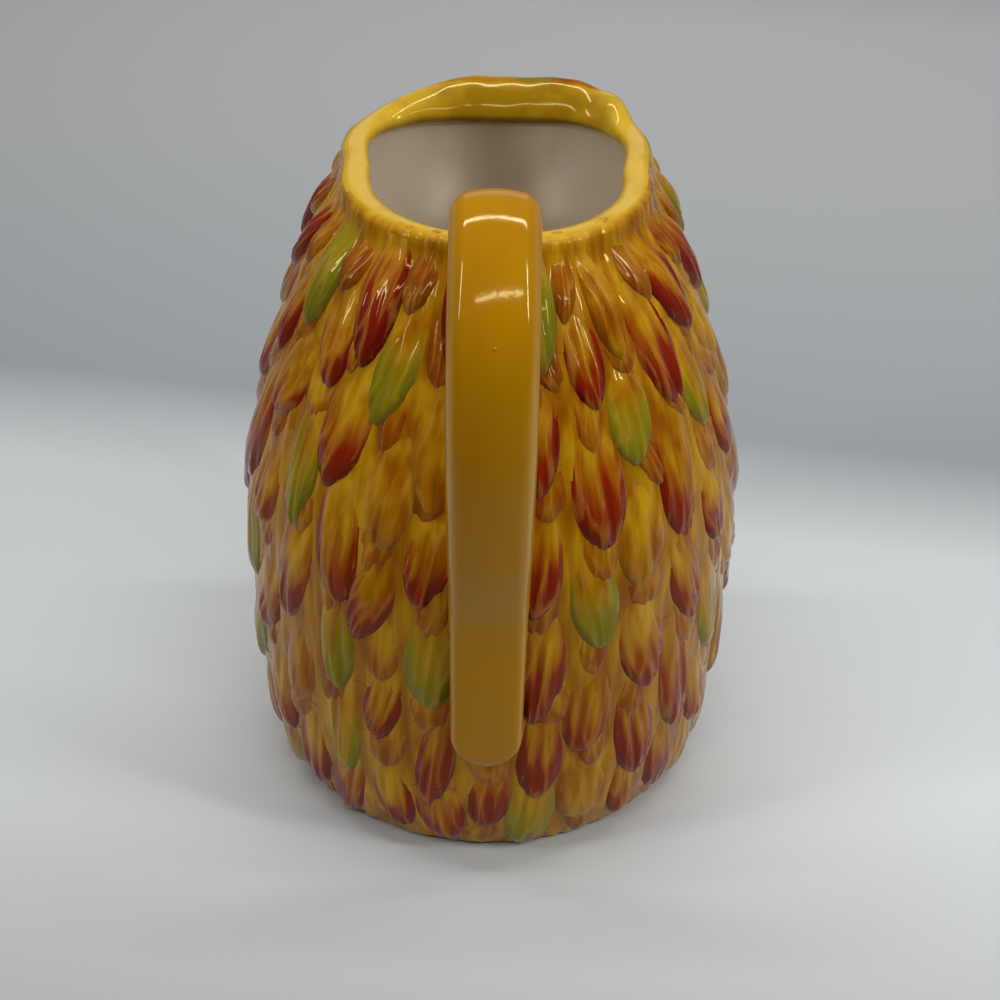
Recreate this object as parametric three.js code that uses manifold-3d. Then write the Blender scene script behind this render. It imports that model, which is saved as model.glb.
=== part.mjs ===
// Hedgehog pitcher: a round glazed jug whose wall is covered with rows of leaf-shaped quills.
// Millimetres, +Z up. The origin is the centre of the flat foot, on the table. The spout and the face
// look along -Y and the handle stands out along +Y. Angles run round the axis from the handle's side.

import * as THREE from "three";
import { mergeVertices } from "three/addons/utils/BufferGeometryUtils.js";
import Module from "manifold-3d";

const wasm = await Module();
wasm.setup();
const { degToRad, lerp, smoothstep } = THREE.MathUtils;

// Wall of the jug, with radii to its outer face under the quills. The neck's is at the rim's top
const FOOT_RADIUS = 62.5;
const BELLY_RADIUS = 75.7;
const BELLY_HEIGHT = 100;
const NECK_RADIUS = 42.3;
const FOOT_ROUNDING = 3.8;
const SHOULDER_ROUNDING = 1.62;
const WALL = 4;
const FLOOR = 6;

// Towards the front the neck is drawn up, and out at two corners, so that the mouth is a rounded D
const FRONT_RISE = 11;
const FRONT_RISE_SHARPNESS = 1.3;
const CORNER_BULGE = 10;
const DRAWN_FROM_HEIGHT = 120;

// Rolled rim, with its top's height on the handle's side, and the pouring lip at the front. The lip stays
// level farther on the right, as seen from the handle's side
const RIM_HEIGHT = 200.5;
const MOUTH_RADIUS = 37.5;
const RIM_WIDTH = 8.5;
const RIM_DEPTH = 5.5;
const RIM_OVERHANG = 1;
const RIM_ROUNDING = 2.6;
const LIP_SPAN = degToRad(104);
const LIP_RISE = 10;
const LIP_FLARE = 3;
const LIP_LEVEL_SHARE = 0.31;
const LIP_SKEW = 0.19;
const LIP_STEEPNESS = 0.7;

// Coat of quills, laid in rows like roof tiles with their points down
const QUILL_ROWS = 11;
const QUILLS_PER_ROW = 14;
const QUILL_POINT = 13;
const QUILL_SWAY = 4;
const QUILL_STAGGER = 2.5;
const QUILL_TIP_THICKNESS = 4.8;
const QUILL_ROOT_THICKNESS = 2.6;
const COAT_FOOT_EDGE = 1.5;
const ROW_GAP = 0.8;

// Strap handle: a high loop that lands on the belly in a rounded tongue
const HANDLE_WIDTH = 24;
const HANDLE_END_WIDTH = 21.5;
const HANDLE_THICKNESS = 10;
const HANDLE_END_THICKNESS = 6;
const HANDLE_CORNER = 2.6;
const HANDLE_TOP = 223;
const HANDLE_TOP_REACH = 70;
const HANDLE_REACH = 104;
const HANDLE_REACH_HEIGHT = 168;
const HANDLE_ROOT_HEIGHT = 184;
const HANDLE_LANDING_HEIGHT = 100;
const HANDLE_END_HEIGHT = 47;
const HANDLE_SEATING = 1;
const HANDLE_TAPER_FROM = 0.5;
// Points between its main ones, as shares of the way out and of the way up or down
const HANDLE_RISE_POINT = [0.3, 0.62];
const HANDLE_SHOULDER_POINT = [0.76, 0.4];
const HANDLE_LOWER_POINT = [0.42, 0.55];

// Face at the front, in an opening of the coat
const FACE_BELOW_RIM = 57.5;
const FACE_HALF_WIDTH = 38;
const FACE_HALF_HEIGHT = 36;
const FACE_EDGE_THICKNESS = 2;
const FACE_CROWN_THICKNESS = 6;
const SNOUT_LENGTH = 24;
const SNOUT_BASE_RADIUS = 22;
const SNOUT_TIP_RADIUS = 7;
const SNOUT_DROP = 7;
const SNOUT_TILT = degToRad(8);
// Pulls on the snout's side, as shares of the radius it starts or ends with and of its length
const SNOUT_BASE_PULL = [0.8, 0.2];
const SNOUT_TIP_PULL = [1.6, 0.7];
const NOSE_RADIUS = 7.5;
const EYE_RADIUS = 5.5;
const EYE_SPACING = 33;
const EYE_RISE = 13;
const EAR_RADIUS = 12;
const EAR_THICKNESS = 5;
const EAR_ANGLE = degToRad(37);
const EAR_BELOW_RIM = 23.5;
const EAR_STANDOFF = 4;
const EAR_TILT = degToRad(24);
const EAR_STALK_SHARE = 0.7;
// Ear's section from the edge of its back round to the middle of its dish, as shares
const EAR_SECTION = [
  [0.8, -0.5],
  [1, 0],
  [0.85, 0.5],
  [0.6, 0],
  [0, -0.17],
];

// Gap between pieces that are seated on each other
const SEAT_GAP = 0.3;

// Fineness of the facets. A quill is four columns wide: its middle, a side, a valley and a side
const COLUMNS_PER_QUILL = 4;
const TIP_OUTLINE = [1, 0.55, 0, 0.55];
const CROWN_OUTLINE = [1, 0.75, 0.35, 0.75];
// Strides that keep the sways and staggers of neighbouring quills unlike
const ROW_STRIDE = 12.9898;
const QUILL_STRIDE = 78.233;
const TRAIT_STRIDE = 37.719;
const SCATTER = 43758.5453;
const COLUMNS = QUILLS_PER_ROW * COLUMNS_PER_QUILL;
const WALL_COLUMNS = COLUMNS / 2;
const WALL_STATIONS = 12;
const MERIDIAN_STEPS = 400;
const RIM_SECTION_POINTS = 10;
const RIM_COIL_SECTIONS = 37;
const LIP_SECTIONS = 17;
const PATCH_SPOKES = 28;
const PATCH_RINGS = 5;
const PATCH_MIDDLE = 0.02;
const HANDLE_SECTIONS = 26;
const HANDLE_END_SECTIONS = 5;
const HANDLE_CORNER_POINTS = 3;
const SMALL_SIDES = 18;
const SNOUT_STATIONS = 6;
const BALL_STATIONS = 9;
const SLOPE_STEP = 0.1;
const SAME_POINT = 1e-4;

const FRONT = Math.PI;
const FACE_HEIGHT = RIM_HEIGHT - FACE_BELOW_RIM;
const EAR_HEIGHT = RIM_HEIGHT - EAR_BELOW_RIM;
const COAT_THICKNESS = SEAT_GAP + QUILL_TIP_THICKNESS;

function evenly(from, to, count) {
  return Array.from({ length: count }, (_, i) => lerp(from, to, i / (count - 1)));
}

// Outer radius of the wall: an egg cut flat by the table below, and a shoulder drawn in to the neck
function wallRadius(z) {
  if (z < BELLY_HEIGHT) {
    const footShare = Math.pow(FOOT_RADIUS / BELLY_RADIUS, FOOT_ROUNDING);
    const depth = Math.pow((BELLY_HEIGHT - z) / BELLY_HEIGHT, FOOT_ROUNDING);
    return BELLY_RADIUS * Math.pow(1 - depth * (1 - footShare), 1 / FOOT_ROUNDING);
  }
  const climb = Math.min((z - BELLY_HEIGHT) / (RIM_HEIGHT - BELLY_HEIGHT), 1);
  return BELLY_RADIUS - (BELLY_RADIUS - NECK_RADIUS) * Math.pow(climb, SHOULDER_ROUNDING);
}

// Radius of a skin that lies a distance outside the wall's outer face, measured square to it
function skinRadius(z, distance) {
  const slope = (wallRadius(z + SLOPE_STEP) - wallRadius(z - SLOPE_STEP)) / (2 * SLOPE_STEP);
  return wallRadius(z) + distance * Math.hypot(1, slope);
}

// Point of the jug from its round shape, moved up and out by what the neck is drawn at the front
function around(angle, roundRadius, roundZ) {
  const drawn = smoothstep(roundZ, DRAWN_FROM_HEIGHT, RIM_HEIGHT);
  const frontShare = Math.pow((1 - Math.cos(angle)) / 2, FRONT_RISE_SHARPNESS);
  const cornerShare = Math.cos(angle) < 0 ? Math.sin(2 * angle) ** 2 : 0;
  const radius = roundRadius + CORNER_BULGE * cornerShare * drawn;
  const z = roundZ + FRONT_RISE * frontShare * drawn;
  return new THREE.Vector3(radius * Math.sin(angle), radius * Math.cos(angle), z);
}

// Length along the wall from the foot at even heights
const WALL_TOP = RIM_HEIGHT - RIM_DEPTH - SEAT_GAP;
const meridian = [0];
for (let i = 1; i <= MERIDIAN_STEPS; i++) {
  const step = WALL_TOP / MERIDIAN_STEPS;
  const drawIn = wallRadius(i * step) - wallRadius((i - 1) * step);
  meridian.push(meridian[i - 1] + Math.hypot(step, drawIn));
}
const WALL_LENGTH = meridian[MERIDIAN_STEPS];
const ROW_PITCH = (WALL_LENGTH - COAT_FOOT_EDGE) / QUILL_ROWS;

function heightAlong(length) {
  const next = Math.max(1, meridian.findIndex((reached) => reached >= length));
  const share = (length - meridian[next - 1]) / (meridian[next] - meridian[next - 1]);
  return ((next - 1 + share) * WALL_TOP) / MERIDIAN_STEPS;
}

function solidOf(geometry) {
  const bare = geometry.clone();
  bare.deleteAttribute("normal");
  bare.deleteAttribute("uv");
  const merged = mergeVertices(bare, SAME_POINT);
  const triangles = [];
  for (let i = 0; i < merged.index.count; i += 3) {
    const [a, b, c] = [0, 1, 2].map((k) => merged.index.getX(i + k));
    if (a !== b && b !== c && a !== c) triangles.push(a, b, c);
  }
  const vertProperties = new Float32Array(merged.attributes.position.array);
  const triVerts = new Uint32Array(triangles);
  return new wasm.Manifold(new wasm.Mesh({ numProp: 3, vertProperties, triVerts }));
}

function largestBody(solid) {
  return solid.decompose().reduce((best, body) => (body.volume() > best.volume() ? body : best));
}

function geometryOf(solid) {
  const { vertProperties, triVerts } = solid.getMesh();
  const geometry = new THREE.BufferGeometry();
  geometry.setAttribute("position", new THREE.BufferAttribute(vertProperties, 3));
  geometry.setIndex(new THREE.BufferAttribute(triVerts, 1));
  geometry.computeVertexNormals();
  return geometry;
}

// Closed surface through like loops of points: joined end to end, or capped at both ends
function loft(loops, joined) {
  const size = loops[0].length;
  const index = [];
  const spans = joined ? loops.length : loops.length - 1;
  for (let i = 0; i < spans; i++) {
    const here = i * size;
    const next = ((i + 1) % loops.length) * size;
    for (let k = 0; k < size; k++) {
      const l = (k + 1) % size;
      index.push(here + k, next + k, next + l, here + k, next + l, here + l);
    }
  }
  if (!joined) {
    const last = (loops.length - 1) * size;
    for (let k = 1; k < size - 1; k++) {
      index.push(0, k, k + 1, last, last + k + 1, last + k);
    }
  }
  const positions = loops.flat().flatMap((point) => point.toArray());
  const geometry = new THREE.BufferGeometry();
  geometry.setAttribute("position", new THREE.Float32BufferAttribute(positions, 3));
  geometry.setIndex(index);
  return geometry;
}

// Turned body whose profile is in radius and height, drawn up and out at the front like the jug
function turned(profile, columns) {
  const points = profile.map(([radius, z]) => new THREE.Vector2(radius, z));
  const geometry = new THREE.LatheGeometry(points, columns).rotateX(Math.PI / 2);
  const position = geometry.attributes.position;
  for (let i = 0; i < position.count; i++) {
    const [x, y] = [position.getX(i), position.getY(i)];
    const angle = Math.atan2(x, y);
    position.setXYZ(i, ...around(angle, Math.hypot(x, y), position.getZ(i)));
  }
  return geometry;
}

// Small turned piece whose own axis is laid along a direction from a point
function turnedAlong(profile, from, direction) {
  const points = profile.map(([radius, along]) => new THREE.Vector2(radius, along));
  const turn = new THREE.Quaternion().setFromUnitVectors(new THREE.Vector3(0, 1, 0), direction);
  return new THREE.LatheGeometry(points, SMALL_SIDES).applyQuaternion(turn).translate(...from);
}

const WALL_HEIGHTS = evenly(0, WALL_LENGTH, WALL_STATIONS).map(heightAlong);

function bodyShell() {
  const inner = WALL_HEIGHTS.filter((z) => z > FLOOR + WALL && z < WALL_TOP).reverse();
  const profile = [
    [0, 0],
    ...WALL_HEIGHTS.map((z) => [wallRadius(z), z]),
    [MOUTH_RADIUS + RIM_OVERHANG, WALL_TOP],
    ...inner.map((z) => [skinRadius(z, -WALL), z]),
    [skinRadius(FLOOR, -WALL), FLOOR],
    [0, FLOOR],
  ];
  return turned(profile, WALL_COLUMNS);
}

// The jug as a full body, its face moved out by a distance, to cut what is seated on it
function filledJug(distance) {
  const above = RIM_HEIGHT + LIP_RISE;
  const heights = evenly(0, WALL_LENGTH, 2 * WALL_STATIONS).map(heightAlong);
  const profile = [
    [0, -FLOOR],
    [skinRadius(0, distance), -FLOOR],
    ...heights.map((z) => [skinRadius(z, distance), z]),
    [skinRadius(RIM_HEIGHT, distance), above],
    [0, above],
  ];
  return solidOf(turned(profile, COLUMNS));
}

// Section of the rim at an angle. With a share of the lip its outer edge is drawn up and out
function rimSection(angle, lipShare, grown) {
  const turns = evenly(0, -2 * Math.PI, RIM_SECTION_POINTS + 1).slice(0, -1);
  return turns.map((turn) => {
    const [c, s] = [Math.cos(turn), Math.sin(turn)];
    const full = Math.abs(c) ** RIM_ROUNDING + Math.abs(s) ** RIM_ROUNDING;
    const [across, up] = [c, s].map((part) => part * Math.pow(full, -1 / RIM_ROUNDING));
    const lip = (lipShare * Math.pow((1 + across) / 2, LIP_STEEPNESS) * (1 + up)) / 2;
    const radius = MOUTH_RADIUS + RIM_WIDTH / 2 + across * (RIM_WIDTH / 2 + grown) + LIP_FLARE * lip;
    const point = around(angle, radius, RIM_HEIGHT - RIM_DEPTH / 2 + up * (RIM_DEPTH / 2 + grown));
    point.z += LIP_RISE * lip;
    return point;
  });
}

function rimCoil() {
  const end = FRONT - LIP_SPAN / 2;
  return loft(evenly(-end, end, RIM_COIL_SECTIONS).map((angle) => rimSection(angle, 0, 0)), false);
}

function pouringLip() {
  const gap = SEAT_GAP / MOUTH_RADIUS;
  const half = LIP_SPAN / 2 - gap;
  const sections = evenly(-half, half, LIP_SECTIONS).map((side) => {
    const level = LIP_LEVEL_SHARE + LIP_SKEW * Math.sign(side);
    const lipShare = 1 - smoothstep(Math.abs(side) / half, level, 1);
    return rimSection(FRONT + side, lipShare, 0);
  });
  return loft(sections, false);
}

// Number from -1 to 1 that differs from quill to quill
function unlike(row, quill, trait) {
  const wave = SCATTER * Math.sin(row * ROW_STRIDE + quill * QUILL_STRIDE + trait * TRAIT_STRIDE);
  return 2 * (wave - Math.floor(wave)) - 1;
}

// Row 1 is at the neck, and every second row is half a quill further round
function columnsFromTip(row, column) {
  return column - (row % 2) * (COLUMNS_PER_QUILL / 2);
}

function quillColumn(row, column) {
  return (columnsFromTip(row, column) + COLUMNS_PER_QUILL) % COLUMNS_PER_QUILL;
}

function quillNumber(row, column) {
  const nearest = Math.round(columnsFromTip(row, column) / COLUMNS_PER_QUILL);
  return (nearest + QUILLS_PER_ROW) % QUILLS_PER_ROW;
}

// Share that a column has in its quill's point. The first row has no row above it, and the last row
// ends in a straight edge above the foot
function pointShare(row, column) {
  return row > 0 && row < QUILL_ROWS ? TIP_OUTLINE[quillColumn(row, column)] : 0;
}

// Edges of a row as lengths along the wall
function lowerEdge(row, column) {
  const stagger = QUILL_STAGGER * unlike(row, quillNumber(row, column), 1);
  return WALL_LENGTH - row * ROW_PITCH - (QUILL_POINT + stagger) * pointShare(row, column);
}

function upperEdge(row, column) {
  return lowerEdge(row - 1, column) - ROW_GAP;
}

// Angle by which a column leans to a side at the lower edge of a row, with its quill's point
function columnLean(row, column) {
  const sway = QUILL_SWAY * unlike(row, quillNumber(row, column), 2);
  return (sway / BELLY_RADIUS) * pointShare(row, column);
}

// How far the wall bulges past a straight line between two lengths along it
function bulge(from, to) {
  const pointAt = (length) => new THREE.Vector2(wallRadius(heightAlong(length)), heightAlong(length));
  const chord = pointAt(to).sub(pointAt(from));
  const middle = pointAt((from + to) / 2).sub(pointAt(from));
  return Math.abs(chord.cross(middle)) / chord.length();
}

// How far the wall bulges past a straight line between two columns, where these lean farthest apart
const COLUMN_BULGE = BELLY_RADIUS * (1 - Math.cos(Math.PI / COLUMNS + QUILL_SWAY / BELLY_RADIUS / 2));

// Shares of the way down a quill, and of the swell that it has there
const QUILL_SWELL = [
  [0, 0.1],
  [0.75, 1],
  [1, 0.8],
];

function quillRow(row) {
  const sections = Array.from({ length: COLUMNS }, (_, column) => {
    const angle = (2 * Math.PI * column) / COLUMNS;
    const top = upperEdge(row, column);
    const bottom = lowerEdge(row, column);
    const middle = (top + bottom) / 2;
    const crown = CROWN_OUTLINE[quillColumn(row, column)];
    const seat = SEAT_GAP + Math.max(bulge(top, middle), bulge(middle, bottom)) + COLUMN_BULGE;
    const pointAt = (share, distance) => {
      const lean = lerp(columnLean(row - 1, column), columnLean(row, column), share);
      const z = heightAlong(lerp(top, bottom, share));
      return around(angle + lean, skinRadius(z, distance), z);
    };
    const inside = [1, 0.5, 0].map((share) => pointAt(share, seat));
    const outside = QUILL_SWELL.map(([share, fullness]) => {
      const swell = (QUILL_TIP_THICKNESS - QUILL_ROOT_THICKNESS) * crown * fullness;
      return pointAt(share, SEAT_GAP + QUILL_ROOT_THICKNESS + swell);
    });
    return [...inside, ...outside];
  });
  return loft(sections, true);
}

// Oval patch on the wall round the middle of the face, from an inner skin out to an outer one
function facePatch(grown, innerSkin, outerSkin) {
  const turns = evenly(0, 2 * Math.PI, PATCH_SPOKES + 1).slice(0, -1);
  const ring = (share, skin) =>
    turns.map((turn) => {
      const across = share * (FACE_HALF_WIDTH + grown) * Math.cos(turn);
      const z = FACE_HEIGHT + share * (FACE_HALF_HEIGHT + grown) * Math.sin(turn);
      return around(FRONT - across / BELLY_RADIUS, skinRadius(z, skin), z);
    });
  const shares = evenly(PATCH_MIDDLE, 1, PATCH_RINGS);
  return loft([...shares.map((share) => ring(share, outerSkin(share))), ring(1, innerSkin)], false);
}

function faceSkin(share) {
  const crown = (FACE_CROWN_THICKNESS - FACE_EDGE_THICKNESS) * (1 - share * share);
  return SEAT_GAP + FACE_EDGE_THICKNESS + crown;
}

function faceMask() {
  return solidOf(facePatch(0, -WALL / 2, faceSkin)).subtract(filledJug(SEAT_GAP));
}

// Everything under the face's skin, moved out by the seating gap, to cut what sits on it
function faceCutter() {
  return solidOf(facePatch(SEAT_GAP, -BELLY_RADIUS / 2, (share) => faceSkin(share) + SEAT_GAP));
}

function faceOpening() {
  return solidOf(facePatch(ROW_GAP, -WALL / 2, () => 2 * COAT_THICKNESS));
}

// Point on the face's skin, from the face's middle across and up
function onFace(across, up) {
  const share = Math.hypot(across / FACE_HALF_WIDTH, up / FACE_HALF_HEIGHT);
  const z = FACE_HEIGHT + up;
  return around(FRONT - across / BELLY_RADIUS, skinRadius(z, faceSkin(share)), z);
}

const SNOUT_AXIS = new THREE.Vector3(0, -Math.cos(SNOUT_TILT), Math.sin(SNOUT_TILT));
const SNOUT_ROOT = onFace(0, -SNOUT_DROP);

function snout() {
  const at = (radius, [radiusShare, lengthShare]) =>
    new THREE.Vector2(radius * radiusShare, SNOUT_LENGTH * lengthShare);
  const side = new THREE.CubicBezierCurve(
    at(SNOUT_BASE_RADIUS, [1, 0]),
    at(SNOUT_BASE_RADIUS, SNOUT_BASE_PULL),
    at(SNOUT_TIP_RADIUS, SNOUT_TIP_PULL),
    at(SNOUT_TIP_RADIUS, [1, 1]),
  );
  const profile = [
    [0, -FACE_CROWN_THICKNESS],
    [SNOUT_BASE_RADIUS, -FACE_CROWN_THICKNESS],
    ...side.getPoints(SNOUT_STATIONS).map((point) => point.toArray()),
    [0, SNOUT_LENGTH],
  ];
  return solidOf(turnedAlong(profile, SNOUT_ROOT, SNOUT_AXIS)).subtract(faceCutter());
}

// Ball with a flat back of the snout tip's size, seated on the snout's flat tip
function nose() {
  const back = Math.asin(Math.min(SNOUT_TIP_RADIUS / NOSE_RADIUS, 1));
  const round = evenly(Math.PI - back, 0, BALL_STATIONS).map((turn) => [
    NOSE_RADIUS * Math.sin(turn),
    NOSE_RADIUS * (Math.cos(turn) + Math.cos(back)),
  ]);
  const seat = SNOUT_ROOT.clone().addScaledVector(SNOUT_AXIS, SNOUT_LENGTH + SEAT_GAP);
  return solidOf(turnedAlong([[0, 0], ...round], seat, SNOUT_AXIS));
}

function eye(side) {
  const centre = onFace((side * EYE_SPACING) / 2, EYE_RISE);
  const ball = new THREE.SphereGeometry(EYE_RADIUS, SMALL_SIDES, BALL_STATIONS);
  return solidOf(ball.translate(...centre)).subtract(faceCutter());
}

// Dished ear on a short stalk beside the top of the face, turned half way to the front and up a little
function ear(side) {
  const angle = FRONT - side * EAR_ANGLE;
  const seat = around(angle, skinRadius(EAR_HEIGHT, COAT_THICKNESS + EAR_STANDOFF), EAR_HEIGHT);
  const level = new THREE.Vector3(Math.sin(angle), Math.cos(angle) - 1, 0).normalize();
  const facing = level.multiplyScalar(Math.cos(EAR_TILT)).setZ(Math.sin(EAR_TILT));
  const sunk = -EAR_STANDOFF - EAR_THICKNESS;
  const profile = [
    [0, sunk],
    [EAR_RADIUS * EAR_STALK_SHARE, sunk],
    ...EAR_SECTION.map(([out, up]) => [EAR_RADIUS * out, EAR_THICKNESS * up]),
  ];
  const cup = solidOf(turnedAlong(profile, seat, facing));
  return largestBody(cup.subtract(filledJug(COAT_THICKNESS + SEAT_GAP)).subtract(faceCutter()));
}

// Middle line of the handle, in the plane through the jug's axis
function handlePath() {
  const half = HANDLE_THICKNESS / 2;
  const endHalf = HANDLE_END_THICKNESS / 2;
  const inPlane = (y, z) => new THREE.Vector3(0, y, z);
  const between = (a, b, [outShare, upShare]) => inPlane(lerp(a.y, b.y, outShare), lerp(a.z, b.z, upShare));
  const onCoat = (z, halfThickness) =>
    inPlane(skinRadius(z, COAT_THICKNESS) + halfThickness - HANDLE_SEATING, z);
  const root = inPlane(wallRadius(HANDLE_ROOT_HEIGHT), HANDLE_ROOT_HEIGHT);
  const top = inPlane(HANDLE_TOP_REACH, HANDLE_TOP - half);
  const out = inPlane(HANDLE_REACH - half, HANDLE_REACH_HEIGHT);
  const landing = onCoat(HANDLE_LANDING_HEIGHT, half);
  const tongue = onCoat((HANDLE_LANDING_HEIGHT + HANDLE_END_HEIGHT) / 2, (half + endHalf) / 2);
  const end = onCoat(HANDLE_END_HEIGHT, endHalf);
  const rise = between(root, top, HANDLE_RISE_POINT);
  const shoulder = between(top, out, HANDLE_SHOULDER_POINT);
  const lower = between(out, landing, HANDLE_LOWER_POINT);
  return new THREE.CatmullRomCurve3([root, rise, top, shoulder, out, lower, landing, tongue, end]);
}

// Rounded rectangle across the handle
function strapSection(centre, across, out, halfWidth, halfThickness) {
  const corner = Math.min(HANDLE_CORNER, halfWidth, halfThickness);
  const corners = [
    [1, 1],
    [-1, 1],
    [-1, -1],
    [1, -1],
  ];
  return corners.flatMap(([sideX, sideY], quarter) =>
    evenly(quarter, quarter + 1, HANDLE_CORNER_POINTS).map((turns) => {
      const x = sideX * (halfWidth - corner) + corner * Math.cos((turns * Math.PI) / 2);
      const y = sideY * (halfThickness - corner) + corner * Math.sin((turns * Math.PI) / 2);
      return centre.clone().addScaledVector(across, x).addScaledVector(out, y);
    }),
  );
}

function handle() {
  const path = handlePath();
  const straight = 1 - HANDLE_END_WIDTH / 2 / path.getLength();
  const roundings = evenly(0, Math.PI / 2, HANDLE_END_SECTIONS + 2).slice(1, -1);
  const shares = [
    ...evenly(0, straight, HANDLE_SECTIONS),
    ...roundings.map((turn) => lerp(straight, 1, Math.sin(turn))),
  ];
  const across = new THREE.Vector3(1, 0, 0);
  const sections = shares.map((share) => {
    const taper = smoothstep(share, HANDLE_TAPER_FROM, 1);
    const rounding = Math.max(share - straight, 0) / (1 - straight);
    const width = lerp(HANDLE_WIDTH, HANDLE_END_WIDTH, taper) * Math.sqrt(1 - rounding * rounding);
    const thickness = lerp(HANDLE_THICKNESS, HANDLE_END_THICKNESS, taper);
    const out = new THREE.Vector3().crossVectors(across, path.getTangentAt(share));
    return strapSection(path.getPointAt(share), across, out, width / 2, thickness / 2);
  });
  const rimAngles = evenly(0, 2 * Math.PI, COLUMNS + 1).slice(0, -1);
  const rim = solidOf(loft(rimAngles.map((angle) => rimSection(angle, 0, SEAT_GAP)), true));
  const jug = filledJug(COAT_THICKNESS + SEAT_GAP);
  return largestBody(solidOf(loft(sections, false)).subtract(jug).subtract(rim));
}

function glaze(colour, roughness) {
  return new THREE.MeshStandardMaterial({ color: colour, roughness, metalness: 0 });
}

const amberGlaze = () => glaze(0xb0700c, 0.12);
const yellowGlaze = () => glaze(0xdcb448, 0.12);
const honeyGlaze = () => glaze(0xa86e0a, 0.1);
const quillGlaze = () => glaze(0x9c3416, 0.15);
const creamGlaze = () => glaze(0xd8b070, 0.15);
const blackGlaze = () => glaze(0x161210, 0.08);

function pieceOf(name, solid, material) {
  const mesh = new THREE.Mesh(geometryOf(solid), material);
  mesh.name = name;
  return mesh;
}

function vessel() {
  const group = new THREE.Group();
  group.add(pieceOf("body_shell", solidOf(bodyShell()), amberGlaze()));
  group.add(pieceOf("rim_coil", solidOf(rimCoil()), yellowGlaze()));
  group.add(pieceOf("pouring_lip", solidOf(pouringLip()), yellowGlaze()));
  group.add(pieceOf("handle", handle(), honeyGlaze()));
  return group;
}

function coat() {
  const group = new THREE.Group();
  const opening = faceOpening();
  for (let row = 1; row <= QUILL_ROWS; row++) {
    const name = "quill_row_" + String(row).padStart(2, "0");
    group.add(pieceOf(name, largestBody(solidOf(quillRow(row)).subtract(opening)), quillGlaze()));
  }
  return group;
}

function face() {
  const group = new THREE.Group();
  group.add(pieceOf("face_mask", faceMask(), creamGlaze()));
  group.add(pieceOf("snout", snout(), creamGlaze()));
  group.add(pieceOf("nose", nose(), blackGlaze()));
  for (const [name, side] of [["left", 1], ["right", -1]]) {
    group.add(pieceOf(name + "_eye", eye(side), blackGlaze()));
    group.add(pieceOf(name + "_ear", ear(side), creamGlaze()));
  }
  return group;
}

const pitcher = new THREE.Group();
pitcher.add(vessel(), coat(), face());

export default pitcher;
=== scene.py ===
"""Looks of a glazed hedgehog pitcher, built round its packed solids.

Metres, +Z up. The origin is the centre of the foot, on the table. The face looks along -Y and the handle
stands out along +Y. Angles run round the jug's axis from the handle's side.
"""

import bisect
import math

import bmesh
import bpy
from bpy.props import (
    FloatProperty,
    FloatVectorProperty,
    IntProperty,
    PointerProperty,
)
from mathutils import Matrix, Vector, noise


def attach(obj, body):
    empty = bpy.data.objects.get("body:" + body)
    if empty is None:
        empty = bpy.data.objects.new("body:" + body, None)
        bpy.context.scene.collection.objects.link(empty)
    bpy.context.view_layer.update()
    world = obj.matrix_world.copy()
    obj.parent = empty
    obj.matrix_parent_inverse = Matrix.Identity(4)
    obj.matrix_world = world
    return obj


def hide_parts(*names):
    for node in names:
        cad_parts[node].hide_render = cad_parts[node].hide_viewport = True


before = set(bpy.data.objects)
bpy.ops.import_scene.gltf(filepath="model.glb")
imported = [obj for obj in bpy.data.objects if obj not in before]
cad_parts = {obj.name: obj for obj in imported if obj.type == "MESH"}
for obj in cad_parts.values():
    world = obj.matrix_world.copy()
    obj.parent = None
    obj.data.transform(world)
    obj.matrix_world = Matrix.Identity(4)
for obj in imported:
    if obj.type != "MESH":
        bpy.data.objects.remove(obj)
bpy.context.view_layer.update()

bl_info = {
    "name": "Hedgehog Pitcher",
    "version": (1, 0, 0),
    "blender": (4, 5, 0),
    "location": "3D View > Sidebar > Pitcher",
    "description": "Dresses the solids of a hedgehog pitcher in quills and glazes and sets its studio",
    "category": "Add Mesh",
}

MM = 0.001
BODY = "root"
FRONT = math.pi
FULL_TURN = 2 * math.pi
SEAT_GAP = 0.3 * MM
SHARP_ANGLE = math.radians(50)

# Fineness of the meshes
MERIDIAN_STEPS = 400
WALL_COLUMNS = 224
WALL_ROWS = 120
SLIP_COLUMNS = 448
SLIP_STEPS = 14
BED_COLUMNS = 168
BED_ROWS = 100
BED_RIM_ROWS = 10
RIM_POINTS = 36
RIM_SECTIONS = 150
LIP_SECTIONS = 72
STRAP_SECTIONS = 150
STRAP_END_SECTIONS = 14
STRAP_CORNER_POINTS = 12
STRAP_FLAT_POINTS = 16
CURVE_STEPS = 40
PLATE_SIDES = 96
TURNED_SIDES = 48

# How the slip thins at the foot and runs out over the rim, and how the rim sits on the wall
FOOT_RUN = 2 * MM
NECK_RUN = 12 * MM
NECK_SLIP = 0.6 * MM
RIM_ARC = 9.5 * MM
RIM_FROM = -0.6
RIM_FOOT_ROUNDING = 8
WALL_INTO_RIM = 1.5 * MM

# Where the rim swells beside the lip, as a share of the lip's span, and how broadly and how far out
KNOB_PLACE = 0.42
KNOB_BREADTH = 0.11
KNOB_OUT = 1 / 3

# Turns of the rim's section at which its painted outer face ends: at the sides, and how much farther round
# on the handle's side and on the lip. Then how soft that edge is, and where the painted shade inside the
# lip begins
PAINT_EDGE = 0.3
PAINT_NEAR = 0.9
PAINT_LIP = 1.2
PAINT_SOFTNESS = 0.3
LIP_SHADE_RUN = (1.0, 1.9)

# Unevenness of a rim that was drawn by hand: its height, and its long and its short waves
RIM_UNEVENNESS = 0.6 * MM
LONG_WAVES = 55.0
SHORT_WAVES = 150.0
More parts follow.
